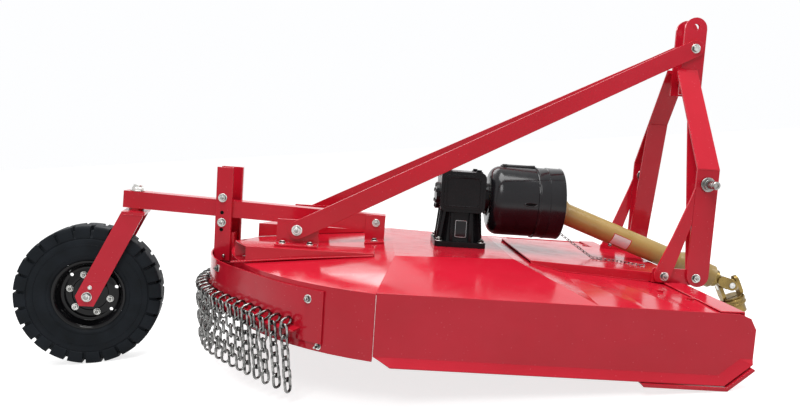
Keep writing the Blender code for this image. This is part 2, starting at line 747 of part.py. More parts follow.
def brackets(root):
    t = BRACKET_T
    for s in (-1, 1):
        # front end of the beam
        inner = BEAM / 2 + GAP
        z0 = pan_height(BEAM_FRONT) + GAP
        foot = [(s * inner, z0), (s * (inner + 0.050), z0), (s * (inner + 0.050), z0 + t),
                (s * (inner + t), z0 + t), (s * (inner + t), 0.278), (s * inner, 0.278)]
        ob = prism("beam_bracket_" + side_name(s), [foot], "x", -0.285, BEAM_FRONT, "red", root)
        for v in ob.data.vertices:
            if v.co.z < z0 + 2 * t:
                v.co.z += pan_height(v.co.x) - pan_height(BEAM_FRONT)
        # feet of the braces
        outer = BRACE_FOOT_FACE
        z0 = CROWN_TOP + 0.0015 + GAP
        foot = [(s * (outer - t), z0), (s * (outer + 0.045), z0), (s * (outer + 0.045), z0 + t),
                (s * outer, z0 + t), (s * outer, 0.273), (s * (outer - t), 0.273)]
        prism("brace_bracket_" + side_name(s), [foot], "x", -0.524, -0.410, "red", root)


def braces(root):
    """Flat bars from the clevis bolt down to the rear brackets, cranked at both ends."""
    (x1, z1), (x0, z0) = BRACE_PIN, BRACE_FOOT
    for s in (-1, 1):
        a = CLEVIS_HALF + GAP
        b = BRACE_FOOT_FACE + GAP
        path = [(x0 - 0.05, b), (x0 + 0.09, b), (x1 - 0.10, a), (x1 + 0.05, a)]
        plan = [(x, s * y) for x, y in path] + [(x, s * (y + BRACE_T)) for x, y in reversed(path)]
        ob = prism("brace_" + side_name(s), [plan], "z", 0.1, 1.0, "red", root)
        side = [stadium(BRACE_FOOT, BRACE_PIN, BRACE_DEPTH / 2), circle(*BRACE_FOOT, 0.0085), circle(*BRACE_PIN, 0.0085)]
        cutter = prism("form_brace_" + side_name(s), side, "y", -0.35, 0.35, "red", root)
        combine(ob, cutter, "INTERSECT")


# Hitch frame

def hitch(root):
    x0, x1 = LEG_X
    foot = SEAM_Y + GAP
    top = CLEVIS_HALF + GAP
    t = LEG_T
    for s in (-1, 1):
        name = side_name(s)
        # outer plate, kinked inward above the lower hitch pin
        slope = Vector((top - foot, LEG_TOP - LEG_KINK)).normalized()
        normal = Vector((slope.y, -slope.x)) * t
        outline = [(foot, LEG_FOOT), (foot + t, LEG_FOOT), (foot + t, LEG_KINK + 0.002),
                   (top, LEG_TOP + t * 1.3), (top, LEG_TOP), (foot, LEG_KINK)]
        ob = prism("hitch_leg_" + name, [[(s * y, z) for y, z in outline]], "x", x0, x1, "red", root)
        bore = prism("cut_leg_" + name, [circle(HITCH_PIN_X, HITCH_PIN_Z, HITCH_PIN_R + PIN_GAP)], "y",
                     *sorted((s * (foot - 0.02), s * (foot + t + 0.02))), "red", root)
        combine(ob, bore, "DIFFERENCE")
        r = (x1 - x0) / 2
        ends = [(x0 - 0.01, LEG_FOOT - 0.01), (x1 + 0.01, LEG_FOOT - 0.01), (x1 + 0.01, LEG_FOOT + r)]
        ends += [(x0 + r + r * math.cos(t_), LEG_FOOT + r - r * math.sin(t_)) for t_ in
                 (math.pi * k / 10 for k in range(11))] + [(x0 - 0.01, LEG_FOOT + r)]
        trim = prism("cut_foot_" + name, [ends], "y", *sorted((s * (foot - 0.02), s * (foot + t + 0.02))), "red", root)
        combine(ob, trim, "DIFFERENCE")
        # straight inner strut that closes the kink
        join = 0.43
        jy = top + (foot - top) * (1 - join)
        share = join
        y_top = foot + (top - foot) * share
        z_top = LEG_KINK + (LEG_TOP - LEG_KINK) * share
        d = Vector((top - foot, LEG_TOP - LEG_KINK)).normalized()
        inner = Vector((-d.y, d.x))
        if inner.x > 0:
            inner = -inner
        a = Vector((y_top, z_top)) + inner * GAP * 2
        b = a + d * 0.012
        low_out = foot - 2 * GAP
        seat = BAND_LOW + 0.018 + GAP
        outline = [(low_out, seat), (a.x - 0.0002, a.y), (b.x - 0.0002, b.y), (low_out - t, seat)]
        prism("hitch_strut_" + name, [[(s * y, z) for y, z in outline]], "x", x0, x1, "red", root)
        # rear stay in the plane of the outer plate
        low = pan_height(0.525) + 0.003
        stay = [(0.525, low + 0.012), (0.530, low + 0.003), (0.538, low), (0.560, low), (0.568, low + 0.006),
                (x0 - GAP, 0.330), (x0 - GAP, 0.430), (0.606, 0.400), (0.5655, 0.290), (0.525, 0.190)]
        prism("hitch_stay_" + name, [stay], "y", *sorted((s * foot, s * (foot + t))), "red", root)
        # clevis plate
        cx = (CLEVIS_X[0] + CLEVIS_X[1]) / 2
        r = (CLEVIS_X[1] - CLEVIS_X[0]) / 2
        outline = [(CLEVIS_X[0], CLEVIS_LOW), (CLEVIS_X[1], CLEVIS_LOW)] + arc(cx, CLEVIS_TOP - r, r, 0, 180, 10)
        loops = [outline, circle(cx, CLEVIS_HOLE, 0.0098), circle(*BRACE_PIN, 0.0085)]
        prism("clevis_" + name, loops, "y", *sorted((s * (CLEVIS_HALF - t), s * CLEVIS_HALF)), "red", root)
        # lower hitch pin with its collar outside and its nut inside the plate
        y0 = foot + t
        profile = [(0, -0.030), (0.017, -0.030), (0.017, -t - GAP), (HITCH_PIN_R, -t - GAP), (HITCH_PIN_R, GAP),
                   (0.020, GAP), (0.020, 0.007), (HITCH_PIN_R, 0.007), (HITCH_PIN_R, 0.007 + HITCH_PIN_REACH - 0.003),
                   (HITCH_PIN_R - 0.003, 0.007 + HITCH_PIN_REACH), (0, 0.007 + HITCH_PIN_REACH)]
        ob = turned("hitch_pin_" + name, [(r_, s * h) for r_, h in profile], "y", 16, "zinc", root,
                    (HITCH_PIN_X, s * y0, HITCH_PIN_Z))
    # bolt through clevis and braces
    half = CLEVIS_HALF + GAP + BRACE_T
    profile = [(0, -half - 0.011), (0.014, -half - 0.011), (0.014, -half - GAP), (0.008, -half - GAP),
               (0.008, half + GAP), (0.014, half + GAP), (0.014, half + 0.013), (0, half + 0.013)]
    turned("clevis_bolt", profile, "y", 16, "zinc", root, (BRACE_PIN[0], 0, BRACE_PIN[1]))
    inner = CLEVIS_HALF - t - GAP
    prism("clevis_spacer", [circle(CLEVIS_X[0] + 0.033, CLEVIS_LOW + 0.045, 0.018)], "y", -inner, inner, "red", root)


# Gearbox and driveline

def rounded(lo, hi, radius, steps=4):
    """Outline of a rectangle from corner lo to corner hi with round corners."""
    corners = ((hi[0], hi[1], 0), (lo[0], hi[1], 90), (lo[0], lo[1], 180), (hi[0], lo[1], 270))
    points = []
    for x, y, start in corners:
        cx = x - math.copysign(radius, x - (lo[0] + hi[0]) / 2)
        cy = y - math.copysign(radius, y - (lo[1] + hi[1]) / 2)
        points += arc(cx, cy, radius, start, start + 90, steps)
    return points


def gearbox(root):
    """Cast housing on a tapered, ribbed stem with a square flange and a shaft cap fore and aft."""
    base = CROWN_TOP + GAP
    f = FLANGE_HALF
    square = prism("gearbox", [rounded((-f, -f), (f, f), 0.014)], "z", base, base + FLANGE_T, "black", root)
    low, high = STEM_HALF
    ring = [(-1, -0.7), (-0.7, -1), (0.7, -1), (1, -0.7), (1, 0.7), (0.7, 1), (-0.7, 1), (-1, 0.7)]
    verts = [(x * w, y * w, z) for w, z in ((low, base + 0.002), (high, GEARBOX_LOW + 0.01)) for x, y in ring]
    faces = [(i, (i + 1) % 8, 8 + (i + 1) % 8, 8 + i) for i in range(8)]
    faces += [tuple(reversed(range(8))), tuple(range(8, 16))]
    combine(square, make("join_stem", verts, faces, "black", root), "UNION")
    for i, turn in enumerate((45, 135)):
        rib = prism("join_rib_%d" % i, [[(-1.55 * low, base + 0.003), (1.55 * low, base + 0.003),
                                         (1.4 * high, GEARBOX_LOW + 0.006), (-1.4 * high, GEARBOX_LOW + 0.006)]],
                    "y", -STEM_RIB / 2, STEM_RIB / 2, "black", root)
        rib.data.transform(Matrix.Rotation(math.radians(turn), 4, "Z"))
        combine(square, rib, "UNION")
    h = GEARBOX_HALF
    body = prism("join_body", [rounded((-h, GEARBOX_LOW), (h, GEARBOX_TOP), 0.018)], "y", -h, h, "black", root)
    combine(square, body, "UNION")
    k = h - COVER_INSET
    cover = prism("join_cover", [rounded((-k, GEARBOX_LOW + COVER_INSET), (k, GEARBOX_TOP - COVER_INSET), 0.014)], "y",
                  -h - COVER_RISE, h + COVER_RISE, "black", root)
    combine(square, cover, "UNION")
    for i, (lo, hi, r) in enumerate(((-0.077, -0.06, 0.040), (0.06, DRIVE_SEAT, 0.046))):
        cap = turned("join_cap_%d" % i, [(0, lo), (r, lo), (r, hi), (0, hi)], "x", 20, "black", root,
                     (0, 0, SHAFT_Z + 0.004))
        combine(square, cap, "UNION")
    # bell-shaped shield, open towards the tractor
    a, w, bend = DRIVE_SEAT + 2 * GAP, BELL_WALL, BELL_ROUND
    turns = [math.radians(22.5 * i) for i in range(5)]
    dome = [(BELL_R0 - bend + bend * math.sin(t), a + bend - bend * math.cos(t)) for t in turns]
    hollow = [(BELL_R0 - bend + (bend - w) * math.sin(t), a + bend - (bend - w) * math.cos(t)) for t in turns]
    profile = [(0.050, a)] + dome + [(BELL_R0, BELL_BAND), (BELL_R1, BELL_BAND + 0.005), (BELL_R1, BELL_MOUTH),
                                     (BELL_R1 - w, BELL_MOUTH), (BELL_R1 - w, BELL_BAND + 0.007),
                                     (BELL_R0 - w, BELL_BAND + 0.002)] + hollow[::-1] + [(0.050, a + w)]
    turned("pto_shield", profile, "x", 28, "plastic", root, (0, 0, SHAFT_Z))


def yoke(name, end, axis, way, colour, parent, bore=0):
    """A forked yoke with its joint centre at the origin; way is the side its hub lies on."""
    block = prism(name, [stadium((0, 0), (way * 0.031, 0), EAR_R), circle(0, 0, CROSS_R + PIN_GAP)], axis,
                  -EAR_OUT, EAR_OUT, colour, parent)
    wide = {"y": ((-EAR_IN, EAR_IN), (-0.05, 0.05)), "z": ((-0.05, 0.05), (-EAR_IN, EAR_IN))}[axis]
    x = sorted((way * SLOT_END, -way * 0.05))
    slot = box("cut_" + name, x, *wide, colour, parent)
    combine(block, slot, "DIFFERENCE")
    radius = 0.030 if bore else 0.022
    hub = [(bore, way * (SLOT_END + 0.001)), (radius, way * (SLOT_END + 0.001)), (radius, way * end), (bore, way * end)]
    stock = turned("join_" + name, hub, "x", 20, colour, parent)
    combine(block, stock, "UNION")
    return block


def cross(name, parent):
    """Four trunnions round a heart, two along y and two along z."""
    ob = box(name, (-0.013, 0.013), (-0.013, 0.013), (-0.013, 0.013), "yellow", parent)
    for axis in "yz":
        for way in (-1, 1):
            pin = prism("join_%s_%s%d" % (name, axis, way), [circle(0, 0, CROSS_R, 12)], axis,
                        *sorted((way * 0.009, way * EAR_OUT)), "yellow", parent)
            combine(ob, pin, "UNION")
    return ob


def droop():
    """Pitch at which the guard tube lies on the deck's front edge."""
    dx = DECK_FRONT + SHEET + 2 * GAP - DRIVE_X
    dz = SHAFT_Z - (BAND_LOW - 0.002)
    return math.degrees(math.atan2(dz, dx) - math.asin((TUBE_R + LIE_GAP) / math.hypot(dx, dz)))


def driveline(root):
    """Two joints with a telescopic shaft between them, which lies on the deck's front edge."""
    input_yoke = empty("input_yoke_axis", root, (DRIVE_X, 0, SHAFT_Z))
    yoke("input_yoke", DRIVE_X - DRIVE_SEAT - 2 * GAP, "y", -1, "yellow", input_yoke)
    lift = empty("drive_lift", root, (DRIVE_X, 0, SHAFT_Z), (0, droop(), 0))
    cross("drive_cross", lift)
    swing = empty("drive_swing", lift)
    yoke("drive_yoke", 0.075, "z", 1, "yellow", swing)
    r = TUBE_R
    w = TUBE_WALL
    neck = TUBE_END - CUP_LENGTH
    turned("drive_guard", [(0, 0.0755), (0.0235, 0.0755), (0.0235, 0.052), (r + 0.012, 0.052), (r + 0.012, 0.066),
                           (r, 0.085), (r, neck), (CUP_R, TUBE_END - 0.014), (CUP_R, TUBE_END), (CUP_R - w, TUBE_END),
                           (CUP_R - w, TUBE_END - 0.014), (r - w, neck), (r - w, 0.19), (0, 0.19)],
           "x", 20, "tan", swing)
    slide = empty("drive_slide", swing)
    q = r - w - PIN_GAP
    cup = 0.036
    turned("drive_inner", [(0, 0.25), (q, 0.25), (q, TUBE_END + 0.040), (cup, TUBE_END + 0.050), (cup, END_X - 0.058),
                           (0, END_X - 0.058)], "x", 20, "tan", slide)
    spin = empty("yoke_spin", slide, (END_X, 0, 0))
    yoke("end_yoke", 0.0575, "y", -1, "yellow", spin)
    bend = empty("yoke_bend", spin, (0, 0, 0), (0, END_DROP, 0))
    cross("end_cross", bend)
    turn = empty("yoke_turn", bend)
    yoke("tractor_yoke", 0.095, "z", 1, "yellow", turn, bore=0.0175)


# Rotor

def rotor(root):
    """Dished blade pan on the gearbox's output shaft, with two blades that swing on bolts."""
    axis = empty("rotor_axis", root, (0, 0, ROTOR_Z))
    top = CROWN_TOP - ROTOR_Z
    profile = [(0, top), (0.022, top), (0.022, 0.034), (0.045, 0.034), (0.045, 0.014), (0.150, 0.014), (PAN_R, 0.030),
               (PAN_R, 0.022), (0.150, 0.006), (0.045, 0.006), (0.040, -0.012), (0, -0.012)]
    pan = turned("blade_pan", profile, "z", 24, "steel", axis)
    for i, s in enumerate((1, -1)):
        pivot = empty("blade_axis_%d" % (i + 1), axis, (0, s * BLADE_PIVOT, 0))
        stub = turned("join_blade_bolt_%d" % (i + 1), [(0, 0.04), (0.016, 0.04), (0.016, 0.009), (0.010, 0.009),
                      (0.010, -0.016), (0.017, -0.016), (0.017, -0.026), (0, -0.026)], "z", 16, "steel", axis,
                      (0, s * BLADE_PIVOT, 0))
        combine(pan, stub, "UNION")
        reach = BLADE_TIP - BLADE_PIVOT
        w = BLADE_WIDTH / 2
        outline = arc(0, 0, w, 90, 270, 10) + [(reach, -w), (reach, w)]
        loops = [outline, circle(0, 0, 0.010 + PIN_GAP)]
        prism("blade_%d" % (i + 1), loops, "z", -0.0157, -0.0157 + BLADE_T, "steel", pivot)


# Castor and wheel

def castor(frame):
    mount = empty("castor_mount", frame, (-CASTOR_AT, 0, -BEAM / 2))
    swivel = empty("castor_axis", mount, (0, 0, 0), (0, 0, CASTOR_TURN))
    low = -CROWN_GAP - FORK_T
    pin = [(0, low - 0.012), (0.018, low - 0.012), (0.018, low), (0.022, low + FORK_T), (0.022, -GAP),
           (CASTOR_PIN_R, -GAP), (CASTOR_PIN_R, BEAM + 0.018), (0, BEAM + 0.018)]
    thread = CASTOR_PIN_R + PIN_GAP
    turned("castor_nut", [(thread, BEAM + GAP), (CASTOR_NUT_R, BEAM + GAP), (CASTOR_NUT_R, BEAM + 0.014),
                          (thread, BEAM + 0.014)], "z", 20, "zinc", swivel)
    fork_top = -CROWN_GAP
    y0, y1 = FORK_HALF - FORK_T, FORK_HALF
    half = FORK_WIDTH / 2
    top = box("castor_fork", (-half, half), (-y1, y1), (fork_top - FORK_T, fork_top), "red", swivel)
    for s in (-1, 1):
        slope = TRAIL / AXLE_DROP
        end = AXLE_DROP + 0.028
        outline = [(-half, fork_top - 0.001), (half, fork_top - 0.001),
                   (-TRAIL + half, -AXLE_DROP), (-TRAIL + half - 0.012, -end), (-TRAIL - half + 0.012, -end),
                   (-TRAIL - half, -AXLE_DROP)]
        arm = prism("join_arm_" + side_name(s), [outline, circle(-TRAIL, -AXLE_DROP, 0.010 + PIN_GAP)], "y",
                    *sorted((s * y0, s * y1)), "red", swivel)
        combine(top, arm, "UNION")
    stem = turned("join_castor_pin", pin, "z", 20, "red", swivel)
    combine(top, stem, "UNION")
    wheel = empty("wheel_axis", swivel, (-TRAIL, 0, -AXLE_DROP))
    nut = y1 + GAP
    turned("axle_bolt", [(0, -nut - 0.012), (0.017, -nut - 0.012), (0.017, -nut), (0.010, -nut), (0.010, nut),
                         (0.017, nut), (0.017, nut + 0.012), (0, nut + 0.012)], "y", 16, "zinc", swivel,
           (-TRAIL, 0, -AXLE_DROP))
    hub = 0.040
    profile = [(0.010 + PIN_GAP, -hub), (0.026, -hub), (0.030, -0.008), (0.085, -0.012), (RIM_R - 0.006, -0.038),
               (RIM_R, -0.040), (RIM_R, -0.030), (RIM_R - 0.012, -0.022), (RIM_R - 0.012, 0.022), (RIM_R, 0.030),
               (RIM_R, 0.040), (RIM_R - 0.006, 0.038), (RIM_R - 0.018, 0.020), (RIM_R - 0.020, 0.0),
               (0.030, 0.0), (0.026, hub), (0.010 + PIN_GAP, hub)]
    turned("wheel_rim", profile, "y", 32, "rim", wheel)
    tyre(wheel)


def tyre(wheel):
    """Cushion tyre with a notch between the blocks of each shoulder, staggered from side to side."""
    bead = RIM_R + GAP
    shoulder = TYRE_R - 0.002
    deep = TYRE_R - NOTCH_DEPTH
    # place in a pitch, and the side that is notched there: -1 right, 1 left, 0 neither
    places = ((0, -1), (NOTCH_SHARE, 0), (0.5 - NOTCH_SHARE, 0), (0.5, 1), (0.5 + NOTCH_SHARE, 0), (1 - NOTCH_SHARE, 0))
    rows = []
    for i in range(BLOCK_COUNT):
        for place, notched in places:
            a = 2 * math.pi * (i + place) / BLOCK_COUNT
            right = (-0.88, deep) if notched < 0 else (-0.95, shoulder)
            left = (0.88, deep) if notched > 0 else (0.95, shoulder)
            section = ((-0.80, bead), (-1, WALL_R), right, (0, TYRE_R), left, (1, WALL_R), (0.80, bead))
            rows.append([(r * math.cos(a), share * TYRE_HALF, r * math.sin(a)) for share, r in section])
    m = len(rows[0])
    n = len(rows)
    faces = []
    for i in range(n):
        j = (i + 1) % n
        for k in range(m):
            l = (k + 1) % m
            faces.append((i * m + k, i * m + l, j * m + l, j * m + k))
    make("tyre", [p for row in rows for p in row], faces, "rubber", wheel)


def stand(root):
    """Lean the machine onto its skids and tyre and put the frame's origin below its middle."""
    root.rotation_euler = (0, math.radians(LEAN), 0)
    bpy.context.view_layer.update()
    graph = bpy.context.evaluated_depsgraph_get()
    low = [1e9] * 3
    high = [-1e9] * 3
    for ob in bpy.data.objects:
        if ob.type not in ("MESH", "CURVE") or ob.hide_render:
            continue
        shape = ob.evaluated_get(graph)
        mesh = shape.to_mesh()
        for v in mesh.vertices:
            p = ob.matrix_world @ v.co
            for k in range(3):
                low[k] = min(low[k], p[k])
                high[k] = max(high[k], p[k])
        shape.to_mesh_clear()
    root.location = (-(low[0] + high[0]) / 2, -(low[1] + high[1]) / 2, -low[2])
    bpy.context.view_layer.update()


def main():
    clear_scene()
    root = empty("machine", None)
    deck_pan(root)
    rails(root)
    for s in (-1, 1):
        side_skirt(s, root)
        skid(s, root)
    fascia(root)
    guard(root)
    chains(root)
    frame = beam_frame(root)
    tail_beam(frame)
    uprights(root)
    brackets(root)
    braces(root)
    hitch(root)
    gearbox(root)
    driveline(root)
    rotor(root)
    castor(frame)
    stand(root)


main()
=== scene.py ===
"""Looks of the parked rotary mower: paint, metal, rubber, chains, fasteners, light and camera.

Lengths are in metres. Pieces are built in the frame of their body or of the deck, and turned profiles are
pairs of radius and height.
"""
import json
import math
import random

import bmesh
import bpy
from mathutils import Matrix, Vector

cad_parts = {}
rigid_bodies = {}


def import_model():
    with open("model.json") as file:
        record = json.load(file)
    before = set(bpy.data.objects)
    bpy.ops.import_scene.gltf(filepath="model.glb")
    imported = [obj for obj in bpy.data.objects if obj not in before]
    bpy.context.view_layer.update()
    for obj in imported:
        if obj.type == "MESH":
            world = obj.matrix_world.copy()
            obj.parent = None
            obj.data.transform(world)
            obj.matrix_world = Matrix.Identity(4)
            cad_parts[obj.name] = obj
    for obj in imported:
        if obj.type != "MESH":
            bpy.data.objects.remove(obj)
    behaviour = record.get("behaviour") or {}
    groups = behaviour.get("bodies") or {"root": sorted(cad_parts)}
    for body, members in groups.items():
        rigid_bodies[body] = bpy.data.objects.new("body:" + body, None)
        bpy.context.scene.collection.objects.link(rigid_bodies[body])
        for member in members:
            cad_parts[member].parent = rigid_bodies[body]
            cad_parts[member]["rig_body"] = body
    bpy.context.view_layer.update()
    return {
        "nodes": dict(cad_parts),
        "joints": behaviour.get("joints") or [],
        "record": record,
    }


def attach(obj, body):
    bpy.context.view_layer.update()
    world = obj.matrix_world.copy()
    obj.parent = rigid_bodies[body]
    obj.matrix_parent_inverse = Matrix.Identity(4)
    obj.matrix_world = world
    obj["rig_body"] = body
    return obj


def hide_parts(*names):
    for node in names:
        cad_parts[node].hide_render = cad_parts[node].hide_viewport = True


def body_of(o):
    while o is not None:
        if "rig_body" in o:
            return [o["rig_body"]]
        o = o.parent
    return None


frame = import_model()
NODES = frame["nodes"]
JOINTS = {j["name"]: j for j in frame["joints"]}


# Frames of the bodies, each with its origin on a joint

def axes(x, y, z, place):
    """A frame with these axes and its origin at a place."""
    matrix = Matrix((x, y, z)).transposed().to_4x4()
    matrix.translation = place
    return matrix


def joint_axis(name):
    """A joint's direction at rest."""
    return Vector(JOINTS[name]["axis"]).normalized()


def joint_place(name):
    """A point on a joint's axis at rest."""
    return Vector(JOINTS[name]["pos_m"])


LEFT = Vector((0, 1, 0))

# The deck: x to the tractor, y to the left, z up from the skirts, rotor axis at x = y = 0
ROTOR_Z = 0.085
UP = joint_axis("rotor_spin")
DECK = axes(LEFT.cross(UP), LEFT, UP, joint_place("rotor_spin") - UP * ROTOR_Z)

# The castor, from its pin at the beam's middle, and the wheel
PIN_AXIS = joint_axis("castor_swivel")
AXLE = joint_axis("wheel_spin")
CASTOR = axes(AXLE.cross(PIN_AXIS), AXLE, PIN_AXIS, joint_place("castor_swivel"))
WHEEL = axes(AXLE.cross(PIN_AXIS), AXLE, PIN_AXIS, joint_place("wheel_spin"))

# The drive shaft, from its first joint
SHAFT = joint_axis("drive_slide")
DRIVE = axes(SHAFT, LEFT, SHAFT.cross(LEFT), joint_place("drive_swing"))

# Turns a profile's height from z to x, or to -y for what lies across the machine
TO_X = axes((0, 0, -1), (0, 1, 0), (1, 0, 0), Vector((0, 0, 0)))
ACROSS = Matrix.Rotation(math.radians(90), 4, "X")

# The photograph's camera, in the deck's frame
CAMERA_PLACE = (-0.2737, -2.1733, 0.5035)
CAMERA_YAW, CAMERA_PITCH, CAMERA_ROLL = -2.05, -5.44, -3.62
CAMERA_FOCAL = 714.45 / 800  # share of the picture's width
SENSOR = 36  # millimetres


# Materials

def shader(name, base, metallic, roughness, coat=0.0, coat_roughness=0.05, specular=0.5):
    """A material with its tree and its main shader; the linked sockets keep a plain value too."""
    mat = bpy.data.materials.new(name)
    mat.use_nodes = True
    tree = mat.node_tree
    bsdf = tree.nodes["Principled BSDF"]
    bsdf.inputs["Base Color"].default_value = (*base, 1)
    bsdf.inputs["Metallic"].default_value = metallic
    bsdf.inputs["Roughness"].default_value = roughness
    bsdf.inputs["Coat Weight"].default_value = coat
    bsdf.inputs["Coat Roughness"].default_value = coat_roughness
    bsdf.inputs["Specular IOR Level"].default_value = specular
    return mat, tree, bsdf


def texture(tree, kind, scale):
    """A texture node on the object's own coordinates."""
    coord = tree.nodes.new("ShaderNodeTexCoord")
    node = tree.nodes.new(kind)
    node.inputs["Scale"].default_value = scale
    tree.links.new(coord.outputs["Object"], node.inputs["Vector"])
    return node


def noise(tree, scale, detail=4):
    """Cloudy values from 0 to 1."""
    node = texture(tree, "ShaderNodeTexNoise", scale)
    node.inputs["Detail"].default_value = detail
    node.inputs["Roughness"].default_value = 0.55
    return node.outputs["Fac"]


def specks(tree, scale):
    """Distance to scattered points, small only right at a point."""
    return texture(tree, "ShaderNodeTexVoronoi", scale).outputs["Distance"]


def ramp(tree, fac, stops):
    """A colour from a value, by places and colours."""
    node = tree.nodes.new("ShaderNodeValToRGB")
    elements = node.color_ramp.elements
    while len(elements) < len(stops):
        elements.new(0.5)
    for element, (place, colour) in zip(elements, stops):
        element.position = place
        element.color = (*colour, 1)
    tree.links.new(fac, node.inputs["Fac"])
    return node.outputs["Color"]


def blend(tree, fac, first, second):
    """From the first to the second colour as the value goes from 0 to 1."""
    node = tree.nodes.new("ShaderNodeMix")
    node.data_type = "RGBA"
    tree.links.new(fac, node.inputs["Factor"])
    for source, socket in ((first, node.inputs["A"]), (second, node.inputs["B"])):
        if isinstance(source, tuple):
            socket.default_value = (*source, 1)
        else:
            tree.links.new(source, socket)
    return node.outputs["Result"]


def spread(tree, fac, low, high, start=0.3, stop=0.7):
    """The value's range from start to stop, mapped to low and high."""
    node = tree.nodes.new("ShaderNodeMapRange")
    for socket, value in (("From Min", start), ("From Max", stop), ("To Min", low), ("To Max", high)):
        node.inputs[socket].default_value = value
    tree.links.new(fac, node.inputs["Value"])
    return node.outputs["Result"]


def bump(tree, bsdf, fac, strength, distance, below=None):
    """Fine relief on a shader, laid over another relief if one is given."""
    node = tree.nodes.new("ShaderNodeBump")
    node.inputs["Strength"].default_value = strength
    node.inputs["Distance"].default_value = distance
    tree.links.new(fac, node.inputs["Height"])
    if below is not None:
        tree.links.new(below, node.inputs["Normal"])
    tree.links.new(node.outputs["Normal"], bsdf.inputs["Normal"])
    return node.outputs["Normal"]


def red_paint():
    """Glossy enamel: slight waviness, orange peel, dust specks and thinner colour in places."""
    mat, tree, bsdf = shader("red_enamel", (0.5, 0.01, 0.024), 0.0, 0.22, coat=0.12, coat_roughness=0.06,
                             specular=0.18)
    mottle = ramp(tree, noise(tree, 3, 5), [(0.3, (0.45, 0.008, 0.02)), (0.7, (0.57, 0.012, 0.032))])
    dust = spread(tree, specks(tree, 75), 0.55, 0.0, 0.02, 0.09)
    tree.links.new(blend(tree, dust, mottle, (0.8, 0.22, 0.26)), bsdf.inputs["Base Color"])
    tree.links.new(spread(tree, noise(tree, 22, 6), 0.09, 0.22), bsdf.inputs["Roughness"])
    wave = bump(tree, bsdf, noise(tree, 9, 2), 0.1, 0.004)
    bump(tree, bsdf, noise(tree, 260, 2), 0.07, 0.0006, wave)
    return mat


def metal(name, dark, bright, low, high, grain, peel, metallic=1):
    """Plated or bare metal whose tone and gloss change from spot to spot."""
    mat, tree, bsdf = shader(name, bright, metallic, low)
    colour = ramp(tree, noise(tree, grain, 5), [(0.32, dark), (0.68, bright)])
    tree.links.new(colour, bsdf.inputs["Base Color"])
    tree.links.new(spread(tree, noise(tree, grain * 2, 5), low, high), bsdf.inputs["Roughness"])
    bump(tree, bsdf, noise(tree, peel, 3), 0.1, 0.0005)
    return mat


def rusty_steel():
    """Bare blade steel, brown where rust has begun."""
    mat, tree, bsdf = shader("bare_steel", (0.3, 0.28, 0.26), 0.9, 0.5)
    colour = ramp(tree, noise(tree, 26, 6),
                  [(0.32, (0.13, 0.075, 0.045)), (0.52, (0.24, 0.22, 0.2)), (0.75, (0.4, 0.38, 0.36))])
    tree.links.new(colour, bsdf.inputs["Base Color"])
    tree.links.new(spread(tree, noise(tree, 50), 0.35, 0.65), bsdf.inputs["Roughness"])
    bump(tree, bsdf, noise(tree, 180, 4), 0.2, 0.0006)
    return mat


def plain(name, dark, bright, low, high, grain, peel, relief, specular=0.5):
    """Paint, plastic or rubber whose tone and gloss change from spot to spot."""
    mat, tree, bsdf = shader(name, bright, 0.0, low, specular=specular)
    colour = ramp(tree, noise(tree, grain, 6), [(0.3, dark), (0.7, bright)])
    tree.links.new(colour, bsdf.inputs["Base Color"])
    tree.links.new(spread(tree, noise(tree, grain * 2, 4), low, high), bsdf.inputs["Roughness"])
    bump(tree, bsdf, noise(tree, peel, 3), relief, 0.0006)
    return mat


# By slot: dark and bright colour, low and high roughness, scale of the tone's grain and of the relief
MATERIALS = {
    "red_paint": red_paint(),
    "zinc_plate": metal("zinc_plate", (0.38, 0.38, 0.36), (0.78, 0.78, 0.75), 0.2, 0.4, 60, 400),
    "bare_steel": rusty_steel(),
    "black_paint": plain("black_enamel", (0.003, 0.003, 0.004), (0.009, 0.009, 0.01), 0.14, 0.34,
                         18, 220, 0.3, specular=0.15),
    "black_plastic": plain("black_plastic", (0.004, 0.004, 0.005), (0.01, 0.01, 0.012), 0.1, 0.24,
                           8, 500, 0.06, specular=0.3),
    "tan_plastic": plain("tan_plastic", (0.3, 0.2, 0.055), (0.42, 0.29, 0.09), 0.26, 0.44,
                         6, 300, 0.08),
    "tyre_rubber": plain("tyre_rubber", (0.005, 0.0065, 0.008), (0.013, 0.016, 0.02), 0.46, 0.7,
                         20, 350, 0.18, specular=0.1),
    "rim_paint": plain("rim_enamel", (0.0015, 0.0015, 0.002), (0.005, 0.005, 0.006), 0.03, 0.1,
                       12, 60, 0.03, specular=0.22),
    "yellow_zinc": metal("yellow_zinc", (0.15, 0.1, 0.03), (0.34, 0.235, 0.07), 0.18, 0.36,
                         30, 260, metallic=0.75),
}

# Finishes of small pieces, some with painted shade in them, which stand under the slot of the piece that they
# belong to
# The chain's zinc runs down to near black in random blotches, which is painted shade standing for the shadows
# among the links
CHAIN = metal("chain_zinc_painted_shade", (0.02, 0.02, 0.02), (0.34, 0.34, 0.33), 0.14, 0.32, 90, 500)
NUT = metal("zinc_nut", (0.14, 0.14, 0.135), (0.4, 0.4, 0.38), 0.2, 0.38, 60, 400)
# Zinc darkened as painted shade, for the hexagons' undersides and flanks and the studs' sides
ZINC_IN_SHADE = metal("zinc_painted_shade", (0.025, 0.025, 0.025), (0.1, 0.1, 0.095), 0.28, 0.45, 60, 400)
LABEL = plain("label_white", (0.62, 0.61, 0.58), (0.74, 0.73, 0.71), 0.35, 0.5, 30, 300, 0.05)
SILVER = metal("label_silver", (0.42, 0.42, 0.43), (0.62, 0.62, 0.63), 0.28, 0.4, 80, 500)
# Near black for discs and patches of painted shade, set where a hole or slot is not cut
HOLE_SHADE = plain("painted_hole_shade", (0.002, 0.002, 0.002), (0.004, 0.004, 0.004), 0.8, 0.95, 30, 300, 0.05,
             specular=0.1)

